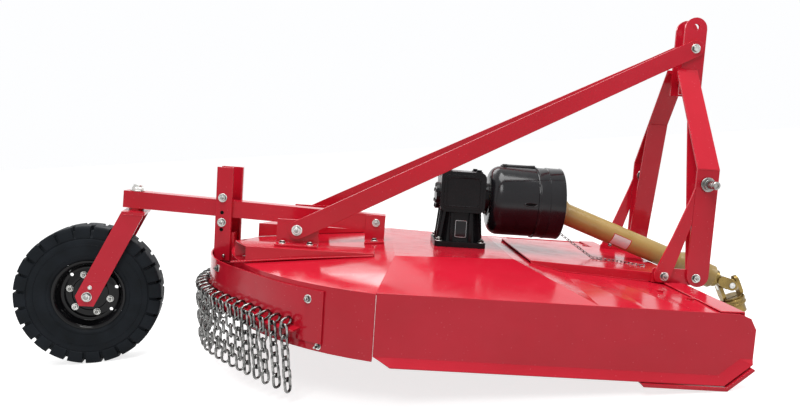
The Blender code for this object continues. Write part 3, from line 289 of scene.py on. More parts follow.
# Plain zinc for washers and hexagon tops, a darker zinc for crowns, stud ends and whole pins, and zinc in
# painted shade for the flanks between them, by material index
FASTENER = (MATERIALS["zinc_plate"], NUT, ZINC_IN_SHADE)
SLOTS = {s["node"]: s["material_slot"] for s in frame["record"]["subparts"]}


# Mesh helpers: every builder adds to a bmesh in the frame that it is told

def add_object(name, data):
    """A new object in the scene."""
    ob = bpy.data.objects.new(name, data)
    bpy.context.scene.collection.objects.link(ob)
    return ob


def settle(name, bm, place, body, slot, material=None, nodes=(), angle=35, weighted=False):
    """Make a piece of a bmesh given in the frame of place; it rides on its body and may replace nodes.

    It takes its slot's material, another one or several by index. Edges over the angle are sharp, or else
    the normals are weighted by the faces.
    """
    bmesh.ops.recalc_face_normals(bm, faces=bm.faces)
    bm.transform(place)
    mesh = bpy.data.meshes.new(name)
    bm.to_mesh(mesh)
    bm.free()
    for polygon in mesh.polygons:
        polygon.use_smooth = True
    if not weighted:
        mesh.set_sharp_from_angle(angle=math.radians(angle))
    for one in (material if isinstance(material, tuple) else (material or MATERIALS[slot],)):
        mesh.materials.append(one)
    ob = add_object(name, mesh)
    if weighted:
        ob.modifiers.new("flat_faces", "WEIGHTED_NORMAL").keep_sharp = True
    if nodes:
        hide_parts(*nodes)
    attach(ob, body)
    return ob


def mirrored(vector, side):
    """A vector given for the left side, on the left (1) or the right (-1)."""
    x, y, z = vector
    return (x, side * y, z)


def frame_on(axis, place):
    """A frame with its origin at a place and its z along the axis."""
    z = Vector(axis).normalized()
    x = Vector((0, 0, 1)).cross(z)
    if x.length < 0.01:
        x = Vector((1, 0, 0))
    x.normalize()
    return axes(x, z.cross(x), z, Vector(place))


def circle(radius, count, start=0.0):
    """Points round a circle, as pairs."""
    turns = [start + math.tau * i / count for i in range(count)]
    return [(radius * math.cos(a), radius * math.sin(a)) for a in turns]


def rod(radius, low, high):
    """Profile of a plain cylinder."""
    return [(0, low), (radius, low), (radius, high), (0, high)]


def skin(bm, rings):
    """Faces between neighbours in a row of rings, which all have equally many corners."""
    for low, high in zip(rings, rings[1:]):
        for k in range(len(low)):
            j = (k + 1) % len(low)
            bm.faces.new((low[k], low[j], high[j], high[k]))


def lathe(bm, profile, place, segments, turn=0.0, index=0):
    """A closed turned form: profile of radius and height about the frame's z.

    index is its material, one number or one for each row of faces.
    """
    rings = []
    for r, z in profile:
        points = circle(r, segments, turn) if r else [(0, 0)]
        rings.append([bm.verts.new(place @ Vector((x, y, z))) for x, y in points])
    for row, (low, high) in enumerate(zip(rings, rings[1:] + rings[:1])):
        kind = index[row] if isinstance(index, list) else index
        if len(low) == 1 and len(high) == 1:
            continue
        for i in range(segments):
            j = (i + 1) % segments
            if len(low) == 1:
                corners = (low[0], high[j], high[i])
            elif len(high) == 1:
                corners = (low[i], low[j], high[0])
            else:
                corners = (low[i], low[j], high[j], high[i])
            bm.faces.new(corners).material_index = kind


SUNK = 0.0004  # what stands on a face goes into it by this much
WASHER_THICK = 0.0017
WASHER_SEAT = 0.0015  # from the washer's underside to the nut's
NUT_DOME = 0.0008
# Material index by row of faces from the underside up: painted shade on undersides, flanks and stud sides,
# the darker zinc on crowns and stud ends, plain zinc on tops
NUT_FACES = [2, 2, 2, 1, 0, 0]
STUD_FACES = [2, 2, 1, 1, 1]


def nut(bm, place, axis, flat, height, turn, washer=0.0, stud=0.0):
    """A hexagon head or nut with a chamfered crown, with a washer under it and a stud out of it on request.

    flat is its width across flats, washer the washer's diameter and stud the stud's free length.
    """
    at = frame_on(axis, place)
    low = 0.0
    if washer:
        r = washer / 2
        lathe(bm, [(0, -SUNK), (r, -SUNK), (r, WASHER_THICK - 0.0005), (r - 0.0005, WASHER_THICK),
                   (0, WASHER_THICK)], at, 28)
        low = WASHER_SEAT
    r = flat / math.sqrt(3)
    top = low + height
    lathe(bm, [(0, low - SUNK), (r * 0.93, low - SUNK), (r, low + 0.0005), (r, top - NUT_DOME),
               (r * 0.88, top), (0, top)], at, 6, turn, NUT_FACES)
    if stud:
        s = flat * 0.29
        chamfer = 0.0012
        lathe(bm, [(0, top - 0.001), (s, top - 0.001), (s, top + stud - chamfer), (s - chamfer, top + stud),
                   (0, top + stud)], at, 16, index=STUD_FACES)


def tube(bm, points, radius, sides, closed=False):
    """A round bar along points; radius is one number or one for each point."""
    pts = [Vector(p) for p in points]
    count = len(pts)
    radii = radius if isinstance(radius, list) else [radius] * count
    rings = []
    normal = None
    for i, p in enumerate(pts):
        ahead = pts[(i + 1) % count] if closed or i < count - 1 else p
        behind = pts[i - 1] if closed or i > 0 else p
        along = (ahead - behind).normalized()
        if normal is None:
            normal = along.orthogonal().normalized()
        normal = (normal - along * normal.dot(along)).normalized()
        side = along.cross(normal)
        rings.append([bm.verts.new(p + normal * u + side * w) for u, w in circle(radii[i], sides)])
    if closed:
        # the last ring joins the first one where their corners lie closest
        shift = min(range(sides), key=lambda k: (rings[-1][0].co - rings[0][k].co).length)
        rings.append(rings[0][shift:] + rings[0][:shift])
    skin(bm, rings)
    if not closed:
        bm.faces.new(rings[0])
        bm.faces.new(rings[-1])


RIPPLE_RINGS = 4  # of a weld, from one pool to the next


def weld(bm, points, radius, pitch=0.0042):
    """A weld bead: a low round bar with the ripples of its pools."""
    pts = [Vector(p) for p in points]
    fine = []
    for a, b in zip(pts, pts[1:]):
        steps = max(2, round((b - a).length / pitch * RIPPLE_RINGS))
        fine += [a.lerp(b, i / steps) for i in range(steps)]
    fine.append(pts[-1])
    radii = []
    for i in range(len(fine)):
        ripple = 0.14 * math.cos(math.tau * i / RIPPLE_RINGS) + 0.05 * math.sin(i * 0.37)
        radii.append(radius * (0.86 + ripple))
    radii[0] = radii[-1] = radius * 0.4
    tube(bm, fine, radii, 7)


def block(bm, low, high, place, edge):
    """A box from corner to corner with softened edges."""
    start = bmesh.new()
    low, high = Vector(low), Vector(high)
    box = Matrix.Translation((low + high) / 2) @ Matrix.Diagonal((*(high - low), 1))
    bmesh.ops.create_cube(start, size=1, matrix=box)
    bmesh.ops.bevel(start, geom=start.edges[:], offset=edge, segments=2, affect="EDGES", profile=0.5)
    start.transform(place)
    mesh = bpy.data.meshes.new("block")
    start.to_mesh(mesh)
    start.free()
    bm.from_mesh(mesh)
    bpy.data.meshes.remove(mesh)


# Nodes whose CAD shape is right, with folded and ground edges instead of knife edges

JOIN = 1e-5  # corners nearer than this are one
FLAT = math.radians(0.6)  # faces turned by less are one
UPRIGHT_SHARP = math.radians(15)  # between two faces that both stand upright


def refine(name, edge, sharp):
    """A copy of a node with softened edges; creases under the angle stay as they are."""
    source = NODES[name]
    bm = bmesh.new()
    bm.from_mesh(source.data)
    bmesh.ops.remove_doubles(bm, verts=bm.verts, dist=JOIN)
    bmesh.ops.dissolve_limit(bm, angle_limit=FLAT, verts=bm.verts, edges=bm.edges)
    chosen = []
    for e in bm.edges:
        if len(e.link_faces) != 2:
            continue
        upright = all(abs(f.normal @ UP) < 0.2 for f in e.link_faces)
        if e.calc_face_angle(0.0) > (UPRIGHT_SHARP if upright else math.radians(sharp)):
            chosen.append(e)
    bmesh.ops.bevel(bm, geom=chosen, offset=edge, segments=2, affect="EDGES", profile=0.5, clamp_overlap=True)
    settle(name + "_made", bm, Matrix(), body_of(source)[0], SLOTS[name], nodes=(name,), weighted=True)


# Tail wheel

TREAD_PITCHES = 24
TREAD_R = 0.2073
SIDE_RINGS = [(0.1165, 0.0455), (0.152, 0.0475)]  # radius and y

# y and radius from the bead to the tread's middle, over a block and, from the shoulder on, over a slot
TREAD_BLOCK = [(0.038, 0.1043), (0.0425, 0.1085), (0.0448, 0.113), (0.0462, 0.125), (0.0472, 0.142),
               (0.0475, 0.158), (0.0474, 0.167), (0.0468, 0.1688), (0.0452, 0.17), (0.0452, 0.1712),
               (0.0466, 0.1722), (0.0475, 0.1745), (0.0472, 0.185), (0.0466, 0.196), (0.0455, 0.203),
               (0.0435, 0.2056), (0.04, 0.2067), (0.026, 0.2072), (0.0125, TREAD_R), (0.011, TREAD_R)]
TREAD_SLOT = [(0.0428, 0.1772), (0.0405, 0.185), (0.0392, 0.1905), (0.038, 0.1922), (0.0365, 0.193),
              (0.034, 0.193), (0.023, 0.193), (0.0128, 0.194), (0.0112, 0.206)]
# Places along one pitch, and whether the near shoulder is cut there; the far one is cut half a pitch on
TREAD_COLUMNS = [(-0.1, False), (-0.075, True), (0.075, True), (0.1, False), (0.25, False),
                 (0.4, False), (0.425, False), (0.575, False), (0.6, False), (0.75, False)]


def tyre():
    """Block tread with slots over both shoulders, those of the far side half a pitch on."""
    bm = bmesh.new()
    start = len(TREAD_BLOCK) - len(TREAD_SLOT)
    slotted = TREAD_BLOCK[:start] + TREAD_SLOT
    half_pitch = len(TREAD_COLUMNS) // 2
    columns = []
    for pitch in range(TREAD_PITCHES):
        for i, (share, near_cut) in enumerate(TREAD_COLUMNS):
            far_cut = TREAD_COLUMNS[(i + half_pitch) % len(TREAD_COLUMNS)][1]
            a = math.tau * (pitch + share) / TREAD_PITCHES
            halves = []
            for side, cut in ((-1, near_cut), (1, far_cut)):
                row = slotted if cut else TREAD_BLOCK
                halves.append([bm.verts.new((r * math.cos(a), side * y, r * math.sin(a))) for y, r in row])
            crown = bm.verts.new((TREAD_R * math.cos(a), 0, TREAD_R * math.sin(a)))
            columns.append(halves[0] + [crown] + halves[1][::-1])
    skin(bm, columns + columns[:1])
    # a fine moulded ring on each side wall and the rim line over the bead
    for side in (-1, 1):
        for r, y in SIDE_RINGS:
            tube(bm, [(u, side * y, w) for u, w in circle(r, 96)], 0.0009, 6, closed=True)
    settle("tyre_made", bm, WHEEL, "wheel", "tyre_rubber", nodes=("tyre",), angle=38)


def pierce(ob, cut):
    """Cut the holes out of a piece; the cutter is given in the wheel's frame."""
    bmesh.ops.recalc_face_normals(cut, faces=cut.faces)
    cut.transform(WHEEL)
    mesh = bpy.data.meshes.new("cutter")
    cut.to_mesh(mesh)
    cut.free()
    cutter = add_object("cutter", mesh)
    holes = ob.modifiers.new("holes", "BOOLEAN")
    holes.object = cutter
    holes.operation = "DIFFERENCE"
    holes.solver = "EXACT"
    bpy.context.view_layer.update()
    done = bpy.data.meshes.new_from_object(ob.evaluated_get(bpy.context.evaluated_depsgraph_get()))
    ob.modifiers.clear()
    ob.data = done
    bpy.data.objects.remove(cutter, do_unlink=True)


# Radius and height over the wheel's middle: from the near hub end to the near flange, back on the far side
RIM_NEAR = [(0.011, -0.04), (0.0245, -0.04), (0.0262, -0.0385), (0.0272, -0.03), (0.0285, -0.014),
            (0.034, -0.0115), (0.05, -0.011), (0.052, -0.0135), (0.07, -0.0135), (0.073, -0.011),
            (0.08, -0.0112), (0.0845, -0.0135), (0.0875, -0.02), (0.09, -0.028), (0.0935, -0.0345),
            (0.0975, -0.0385), (0.101, -0.04), (0.1035, -0.0395), (0.104, -0.037), (0.103, -0.0345),
            (0.1025, -0.031), (0.0935, -0.0235), (0.0925, -0.015)]
RIM_FAR = [(0.0925, 0.015), (0.0935, 0.0235), (0.1025, 0.031), (0.103, 0.0345), (0.104, 0.037),
           (0.1035, 0.0395), (0.101, 0.04), (0.0975, 0.0385), (0.0935, 0.0345), (0.0905, 0.03),
           (0.0895, 0.02), (0.0895, -0.008), (0.084, -0.0085), (0.08, -0.006), (0.073, -0.0058),
           (0.07, -0.0085), (0.052, -0.0085), (0.05, -0.0055), (0.034, -0.0055), (0.029, -0.004),
           (0.0275, 0.01), (0.0265, 0.03), (0.0262, 0.0385), (0.0245, 0.04), (0.011, 0.04)]
HUB_BOLT_CIRCLE = 0.059
HUB_BOLT_TURNS = (51, 111, 169, 227, 292, 347)  # degrees
DISC_NEAR, DISC_FAR = -0.0132, -0.0088  # the disc's faces under the bolts
HOLE_CIRCLE = 0.0765
HOLE_TURNS = (136, 18, -36)  # degrees
HOLE_FACE = -0.0106
HOLE_R = 0.005
HOLE_DEPTH = 0.012


def rim():
    """Pressed disc in a one-piece rim: dished hub face, holes, and a tube for the axle."""
    bm = bmesh.new()
    lathe(bm, RIM_NEAR + RIM_FAR, ACROSS.inverted(), 96)
    disc = settle("wheel_rim_made", bm, WHEEL, "wheel", "rim_paint", nodes=("wheel_rim",), angle=50)
    zinc, cut, lips = bmesh.new(), bmesh.new(), bmesh.new()
    for degrees in HUB_BOLT_TURNS:
        a = math.radians(degrees)
        u, w = HUB_BOLT_CIRCLE * math.cos(a), HUB_BOLT_CIRCLE * math.sin(a)
        nut(zinc, (u, DISC_NEAR, w), (0, -1, 0), 0.0155, 0.006, a, washer=0.021, stud=0.004)
        nut(zinc, (u, DISC_FAR, w), (0, 1, 0), 0.0155, 0.007, a)
    for degrees in HOLE_TURNS:
        a = math.radians(degrees)
        at = frame_on((0, -1, 0), (HOLE_CIRCLE * math.cos(a), HOLE_FACE, HOLE_CIRCLE * math.sin(a)))
        lathe(cut, rod(HOLE_R, -HOLE_DEPTH, 0.006), at, 20)
        lathe(lips, [(HOLE_R, -SUNK), (0.0066, -SUNK), (0.006, 0.0008), (0.0051, 0.0008)], at, 20)
    pierce(disc, cut)
    settle("hub_bolts", zinc, WHEEL, "wheel", "zinc_plate", FASTENER)
    settle("rim_hole_lips", lips, WHEEL, "wheel", "rim_paint")


# Chains

# The guard's inner face, from above: an arc round REAR_CENTRE, straight runs and a bend at the rear
REAR_CENTRE = -0.063
GUARD_RADIUS = 0.6138
GUARD_REAR = -0.7346
GUARD_LEAVE = math.radians(41)  # where the arc ends, from straight back
SHELF_EDGE = 0.029  # from the guard's inner face
SHELF_TOP = 0.05  # at the guard
SHELF_DROP = 0.004  # down to the edge

CHAIN_COUNT = 32
CHAIN_SPREAD = math.radians(52)  # the last chain's place on the arc
HANGING_LINKS = 6
FIRST_TILT = math.radians(16)
FIRST_BACK = 0.008  # from the shelf's edge back to the first link's middle
LINK_WIRE = 0.0068
LINK_LENGTH = 0.0262  # inside
LINK_WIDTH = 0.012  # inside
WIRE_SIDES = 8
END_RINGS = 8  # round each end of a link
LINK_HALF = (LINK_LENGTH + LINK_WIRE) / 2
LINK_END_R = (LINK_WIDTH + LINK_WIRE) / 2

# Slopes of the hanging chains along the guard and outward, and their turns in radians
SWAY = 0.022
SWAY_OUT = (-0.004, 0.014)
FIRST_TWIST = 0.25
NEXT_TWIST = 0.16


def chain_places():
    """Points and outward directions at equal steps along the guard's inner face, one for each chain.

    small is the radius of the bend at the rear, straight the length of the run between it and the arc.
    """
    stretch = 1 / math.cos(GUARD_LEAVE)
    small = (GUARD_RADIUS * stretch - (REAR_CENTRE - GUARD_REAR)) / (stretch - 1)
    bend = small * GUARD_LEAVE
    straight = (GUARD_RADIUS - small) * math.tan(GUARD_LEAVE)
    reach = bend + straight + GUARD_RADIUS * (CHAIN_SPREAD - GUARD_LEAVE)
    line = []
    for i in range(CHAIN_COUNT):
        along = reach * (1 - 2 * i / (CHAIN_COUNT - 1))
        s = math.copysign(1, along)
        d = abs(along)
        turn = min(d / small, GUARD_LEAVE) + max(0, (d - bend - straight) / GUARD_RADIUS)
        if d <= bend + straight:
            flat = max(0, d - bend)
            x = GUARD_REAR + small * (1 - math.cos(turn)) + flat * math.sin(turn)
            y = small * math.sin(turn) + flat * math.cos(turn)
        else:
            x, y = REAR_CENTRE - GUARD_RADIUS * math.cos(turn), GUARD_RADIUS * math.sin(turn)
        line.append((Vector((x, s * y, 0)), Vector((-math.cos(turn), s * math.sin(turn), 0))))
    return line


def link(bm, centre, along, across, half, end_r, wire):
    """One welded link, long along and wide across.

    half is half its length and end_r the radius of its ends, both to the wire's middle.
    """
    rings = []
    section = circle(wire / 2, WIRE_SIDES)
    normal = along.cross(across).normalized()
    for end in (1, -1):
        for i in range(END_RINGS):
            a = math.pi * i / (END_RINGS - 1)
            u, w = end * math.sin(a), end * math.cos(a)
            out = along * u + across * w
            middle = centre + along * (end * (half - end_r)) + out * end_r
            rings.append([bm.verts.new(middle + out * p + normal * q) for p, q in section])
    skin(bm, rings + rings[:1])


def chain_curtain():
    """Each chain's first link leans on edge over the shelf, and the others hang plumb from it."""
    down = (DECK.to_3x3().inverted() @ Vector((0, 0, -1))).normalized()
    rng = random.Random(11)
    bm = bmesh.new()
    stand = Vector((0, 0, 1))
    for point, out in chain_places():
        along = out * math.cos(FIRST_TILT) - stand * math.sin(FIRST_TILT)
        up = out * math.sin(FIRST_TILT) + stand * math.cos(FIRST_TILT)
        edge = point + out * SHELF_EDGE + stand * (SHELF_TOP - SHELF_DROP)
        middle = edge + up * (LINK_END_R + LINK_WIRE / 2) - along * FIRST_BACK
        link(bm, middle, along, up, LINK_HALF, LINK_END_R, LINK_WIRE)
        # the second link hangs from the lower corner of the first one's outer end
        rest = (LINK_END_R - LINK_WIRE) * 0.7
        hook = middle + along * (LINK_HALF - LINK_END_R + rest) - up * rest
        tangent = Vector((-out.y, out.x, 0))
        swing = (down + tangent * rng.uniform(-SWAY, SWAY) + out * rng.uniform(*SWAY_OUT)).normalized()
        tangent = (tangent - swing * tangent.dot(swing)).normalized()
        turn = rng.uniform(-FIRST_TWIST, FIRST_TWIST)
        for i in range(HANGING_LINKS):
            way = tangent if i % 2 == 0 else swing.cross(tangent)
            way = Matrix.Rotation(turn, 3, swing) @ way
            middle = hook + swing * (LINK_HALF + LINK_LENGTH * i)
            link(bm, middle, swing, way, LINK_HALF, LINK_END_R, LINK_WIRE)
            turn += rng.uniform(-NEXT_TWIST, NEXT_TWIST)
    settle("chain_curtain_made", bm, DECK, "frame", "zinc_plate", CHAIN, nodes=("chain_curtain",), angle=80)


# Castor fittings, in the castor's frame

CASTOR_WASHER = [(0.013, 0.0503), (0.0205, 0.0503), (0.021, 0.0508), (0.021, 0.0521), (0.0205, 0.0526),
                 (0.013, 0.0526)]
NUT_R = 0.0168
CASTOR_NUT = [(0.013, 0.0524), (NUT_R * 0.94, 0.0524), (NUT_R, 0.053), (NUT_R, 0.06), (NUT_R * 0.9, 0.0612),
              (0.015, 0.0612), (0.015, 0.0638), (0.013, 0.0638)]
SPLIT_PIN = [(0.004, -0.024, 0.063), (0.004, -0.0232, 0.065), (0.002, -0.018, 0.066), (0, 0, 0.066),
             (-0.001, 0.017, 0.066), (-0.004, 0.0215, 0.0645), (-0.009, 0.0222, 0.061)]
PIN_END = [(0, 0.06), (0.0131, 0.06), (0.0131, 0.0688), (0.0122, 0.0692), (0, 0.0692)]
AXLE_X, AXLE_Z = -0.113, -0.268
FORK_FACE = 0.0624
AXLE_BOLT = rod(0.0096, -0.064, 0.064)


def castor_fittings():
    """Castle nut with its split pin, axle bolt, locking screw and the fork's welds."""
    zinc = bmesh.new()
    lathe(zinc, CASTOR_WASHER, Matrix(), 40)
    lathe(zinc, CASTOR_NUT, Matrix(), 6, 0.2)
    tube(zinc, SPLIT_PIN, 0.0014, 8)
    lathe(zinc, PIN_END, Matrix(), 32)
    settle("castor_nut_made", zinc, CASTOR, "castor", "zinc_plate", nodes=("castor_nut",))
    bolt = bmesh.new()
    lathe(bolt, AXLE_BOLT, Matrix.Translation((AXLE_X, 0, AXLE_Z)) @ ACROSS, 32)
    nut(bolt, (AXLE_X, -FORK_FACE, AXLE_Z), (0, -1, 0), 0.022, 0.0095, 0.45, washer=0.029, stud=0.003)
    nut(bolt, (AXLE_X, FORK_FACE, AXLE_Z), (0, 1, 0), 0.022, 0.0095, 0.2, washer=0.029)
    nut(bolt, (-0.106, -0.0622, -0.2396), (0, -1, 0), 0.0085, 0.0035, 0.1, washer=0.012)
    settle("axle_bolt_made", bolt, CASTOR, "castor", "zinc_plate", FASTENER, nodes=("axle_bolt",))
    beads = bmesh.new()
    weld(beads, [(-0.1226, -0.0619, -0.2239), (-0.0649, -0.0619, -0.2204)], 0.0007, 0.006)
    for s in (-1, 1):
        weld(beads, [(-0.03, s * 0.062, -0.0168), (0.03, s * 0.062, -0.0168)], 0.0012)
    settle("castor_welds", beads, CASTOR, "castor", "red_paint", angle=60)


# Fasteners and welds of the frame, in the deck's frame

UPRIGHT_X = -0.7125
UPRIGHT_FACE = 0.04
BEAM_BOLTS = (0.3027, 0.229)  # heights
FREE_HOLES = ((-1, 0.2587), (-1, 0.2075), (1, 0.2587))  # side and height
# The free holes are not cut: a thin disc of painted shade stands on the face at each
HOLE_SHADE_DISC = rod(0.0055, 0, 0.0003)
LEG_FACE = 0.2433

# On both sides: place, axis, width across flats, height, turn, washer and stud
SIDE_NUTS = [
    ((-0.702, 0.025, 0.13), (0, 1, 0), 0.015, 0.007, 0.3, 0.023, 0.015),
    ((-0.6799, 0.2191, 0.1249), (-0.85, 0.52, 0), 0.013, 0.0065, 0.4, 0.021, 0.004),
    ((-0.4063, 0.5132, 0.1216), (-0.55, 0.83, 0), 0.013, 0.0065, 0.1, 0.021, 0.004),
    ((-0.376, 0.5262, 0.0125), (-0.51, 0.86, 0), 0.011, 0.005, 0.1, 0.017, 0.011),
    ((-0.2532, 0.0313, 0.2549), (0, 1, 0), 0.015, 0.007, 0.35, 0.0235, 0.004),
    ((-0.2555, 0.056, 0.2045), (-0.09, 0, 1), 0.013, 0.006, 0.2, 0.021, 0),
    ((-0.4687, 0.2358, 0.2449), (0, 1, 0), 0.019, 0.009, 0.5, 0.029, 0.005),
    ((-0.505, 0.248, 0.2098), (0, 0, 1), 0.013, 0.006, 0.3, 0.02, 0),
    ((-0.4311, 0.248, 0.2098), (0, 0, 1), 0.013, 0.006, 0.3, 0.02, 0),
    ((0.6421, LEG_FACE, 0.18), (0, 1, 0), 0.0165, 0.008, 0.25, 0.0245, 0.003),
    ((0.5525, LEG_FACE, 0.18), (0, 1, 0), 0.0165, 0.008, 0.4, 0.0245, 0.003),
]
PAINTED_NUTS = [
    ((0.4915, 0.3702, 0.1585), (0.05, 0, 1), 0.015, 0.0055, 0.4, 0.023),
    ((0.536, 0.4486, 0.1585), (0.05, 0, 1), 0.015, 0.0055, 0.4, 0.023),
]

# On both sides: points, radius and, where it is not the usual one, the ripples' pitch
WELDS = [
    ([(-0.632, 0.3012, 0.1595), (-0.45, 0.3012, 0.1797), (-0.257, 0.3012, 0.1977)], 0.003, 0.0075),
    ([(0.181, 0.2272, 0.1925), (0.267, 0.2272, 0.1752), (0.515, 0.2272, 0.1612)], 0.0019),
    ([(-0.2492, 0.5838, 0.004), (-0.2492, 0.5838, 0.157)], 0.0016),
    ([(0.617, 0.2432, 0.483), (0.677, 0.2432, 0.483)], 0.0012),
    ([(0.631, 0.0358, 0.778), (0.677, 0.0358, 0.778)], 0.0018),
    ([(0.679, 0.233, 0.205), (0.679, 0.233, 0.235)], 0.0016),
    ([(-0.2265, 0.074, 0.2035), (-0.2265, 0.027, 0.2035)], 0.0017),
    ([(-0.733, 0.0252, 0.122), (-0.733, 0.0252, 0.15)], 0.0015),
]


def deck_fasteners():
    """Bolts of the beam, guard, brackets, braces and hitch frame, and the uprights' free holes as discs of
    painted shade.
    """
    zinc, red, dark = bmesh.new(), bmesh.new(), bmesh.new()
    for z in BEAM_BOLTS:
        nut(zinc, (UPRIGHT_X, -UPRIGHT_FACE, z), (0, -1, 0), 0.017, 0.008, 0.5, washer=0.026, stud=0.0045)
        nut(zinc, (UPRIGHT_X, UPRIGHT_FACE, z), (0, 1, 0), 0.017, 0.007, 0.2, washer=0.026)
    for s, z in FREE_HOLES:
        lathe(dark, HOLE_SHADE_DISC, frame_on((0, s, 0), (UPRIGHT_X, s * UPRIGHT_FACE, z)), 24)
    for s in (-1, 1):
        for place, axis, *sizes in SIDE_NUTS:
            nut(zinc, mirrored(place, s), mirrored(axis, s), *sizes)
        for place, axis, *sizes in PAINTED_NUTS:
            nut(red, mirrored(place, s), axis, *sizes)
    settle("frame_bolts", zinc, DECK, "frame", "zinc_plate", FASTENER)
    settle("painted_bolts", red, DECK, "frame", "red_paint")
    settle("bolt_hole_shade", dark, DECK, "frame", "red_paint", HOLE_SHADE)


def deck_welds():
    """Beads along the rails, the front band, the skirts, the hitch frame and the tail."""
    bm = bmesh.new()
    for s in (-1, 1):
        for points, *sizes in WELDS:
            weld(bm, [mirrored(p, s) for p in points], *sizes)
    settle("frame_welds", bm, DECK, "frame", "red_paint", angle=60)


LOWER_PIN_X, LOWER_PIN_Z = 0.647, 0.442
LOWER_PIN = [(0, -0.012), (0.011, -0.012), (0.011, 0.0003), (0.019, 0.0003), (0.02, 0.0012), (0.02, 0.0058),
             (0.019, 0.0068), (0.0148, 0.007), (0.0148, 0.015), (0.014, 0.0158), (0.011, 0.016),
             (0.011, 0.042), (0.0103, 0.0424), (0.0103, 0.0446), (0.011, 0.045), (0.011, 0.0525),
             (0.009, 0.0548), (0.006, 0.0548), (0.006, 0.05), (0, 0.05)]
LEG_INSIDE = 0.2351
CLEVIS_X, CLEVIS_Z = 0.663, 0.837
CLEVIS_FACE = 0.0455
CLEVIS_BOLT = rod(0.0083, -0.05, 0.05)


def hitch_pins():
    """Turned pins with a shoulder, a groove and a chamfered end, and the bolt of the top link clevis."""
    for side, s in (("right", -1), ("left", 1)):
        bm = bmesh.new()
        lathe(bm, LOWER_PIN, frame_on((0, s, 0), (LOWER_PIN_X, s * LEG_FACE, LOWER_PIN_Z)), 40, index=1)
        nut(bm, (LOWER_PIN_X, s * LEG_INSIDE, LOWER_PIN_Z), (0, -s, 0), 0.03, 0.015, 0.1, washer=0.039)
        name = "hitch_pin_" + side
        settle(name + "_made", bm, DECK, "frame", "zinc_plate", FASTENER, nodes=(name,))
    bm = bmesh.new()
    lathe(bm, CLEVIS_BOLT, Matrix.Translation((CLEVIS_X, 0, CLEVIS_Z)) @ ACROSS, 28)
    nut(bm, (CLEVIS_X, -CLEVIS_FACE, CLEVIS_Z), (0, -1, 0), 0.0185, 0.0085, 0.5, washer=0.0275)
    nut(bm, (CLEVIS_X, CLEVIS_FACE, CLEVIS_Z), (0, 1, 0), 0.0185, 0.0085, 0.1, washer=0.0275, stud=0.002)
    settle("clevis_bolt_made", bm, DECK, "frame", "zinc_plate", FASTENER, nodes=("clevis_bolt",))


# Gearbox, in the deck's frame

FOOT_BOLT = 0.064  # along x and y from the rotor's axis
FOOT_FACE = 0.2183
LID_BOLT = 0.046
LID_FACE = 0.4262
LID_BOSS = [(0, -0.004), (0.012, -0.004), (0.0105, 0.003), (0, 0.003)]
RIB_LEAN = math.radians(5.1)
RIB_OUT = 0.056
RIB_APART = 0.028
RIB_Z = 0.262
RIB_THICK, RIB_DEEP, RIB_HIGH = 0.0045, 0.0105, 0.045  # halves
PLATE_PLACE = (0.0005, -0.0576, 0.256)
COVER_FACE = 0.0722
COVER_Z = 0.3665
SHAFT_Z = 0.349


def rounded_ring(half_x, half_z, radius, steps):
    """Points round a rectangle with round corners, as pairs; the halves reach to the corners' centres."""
    ring = []
    for quarter, (sx, sz) in enumerate(((1, 1), (-1, 1), (-1, -1), (1, -1))):
        for i in range(steps + 1):
            a = math.radians(90 * (quarter + i / steps))
            ring.append((sx * half_x + radius * math.cos(a), sz * half_z + radius * math.sin(a)))
    return ring


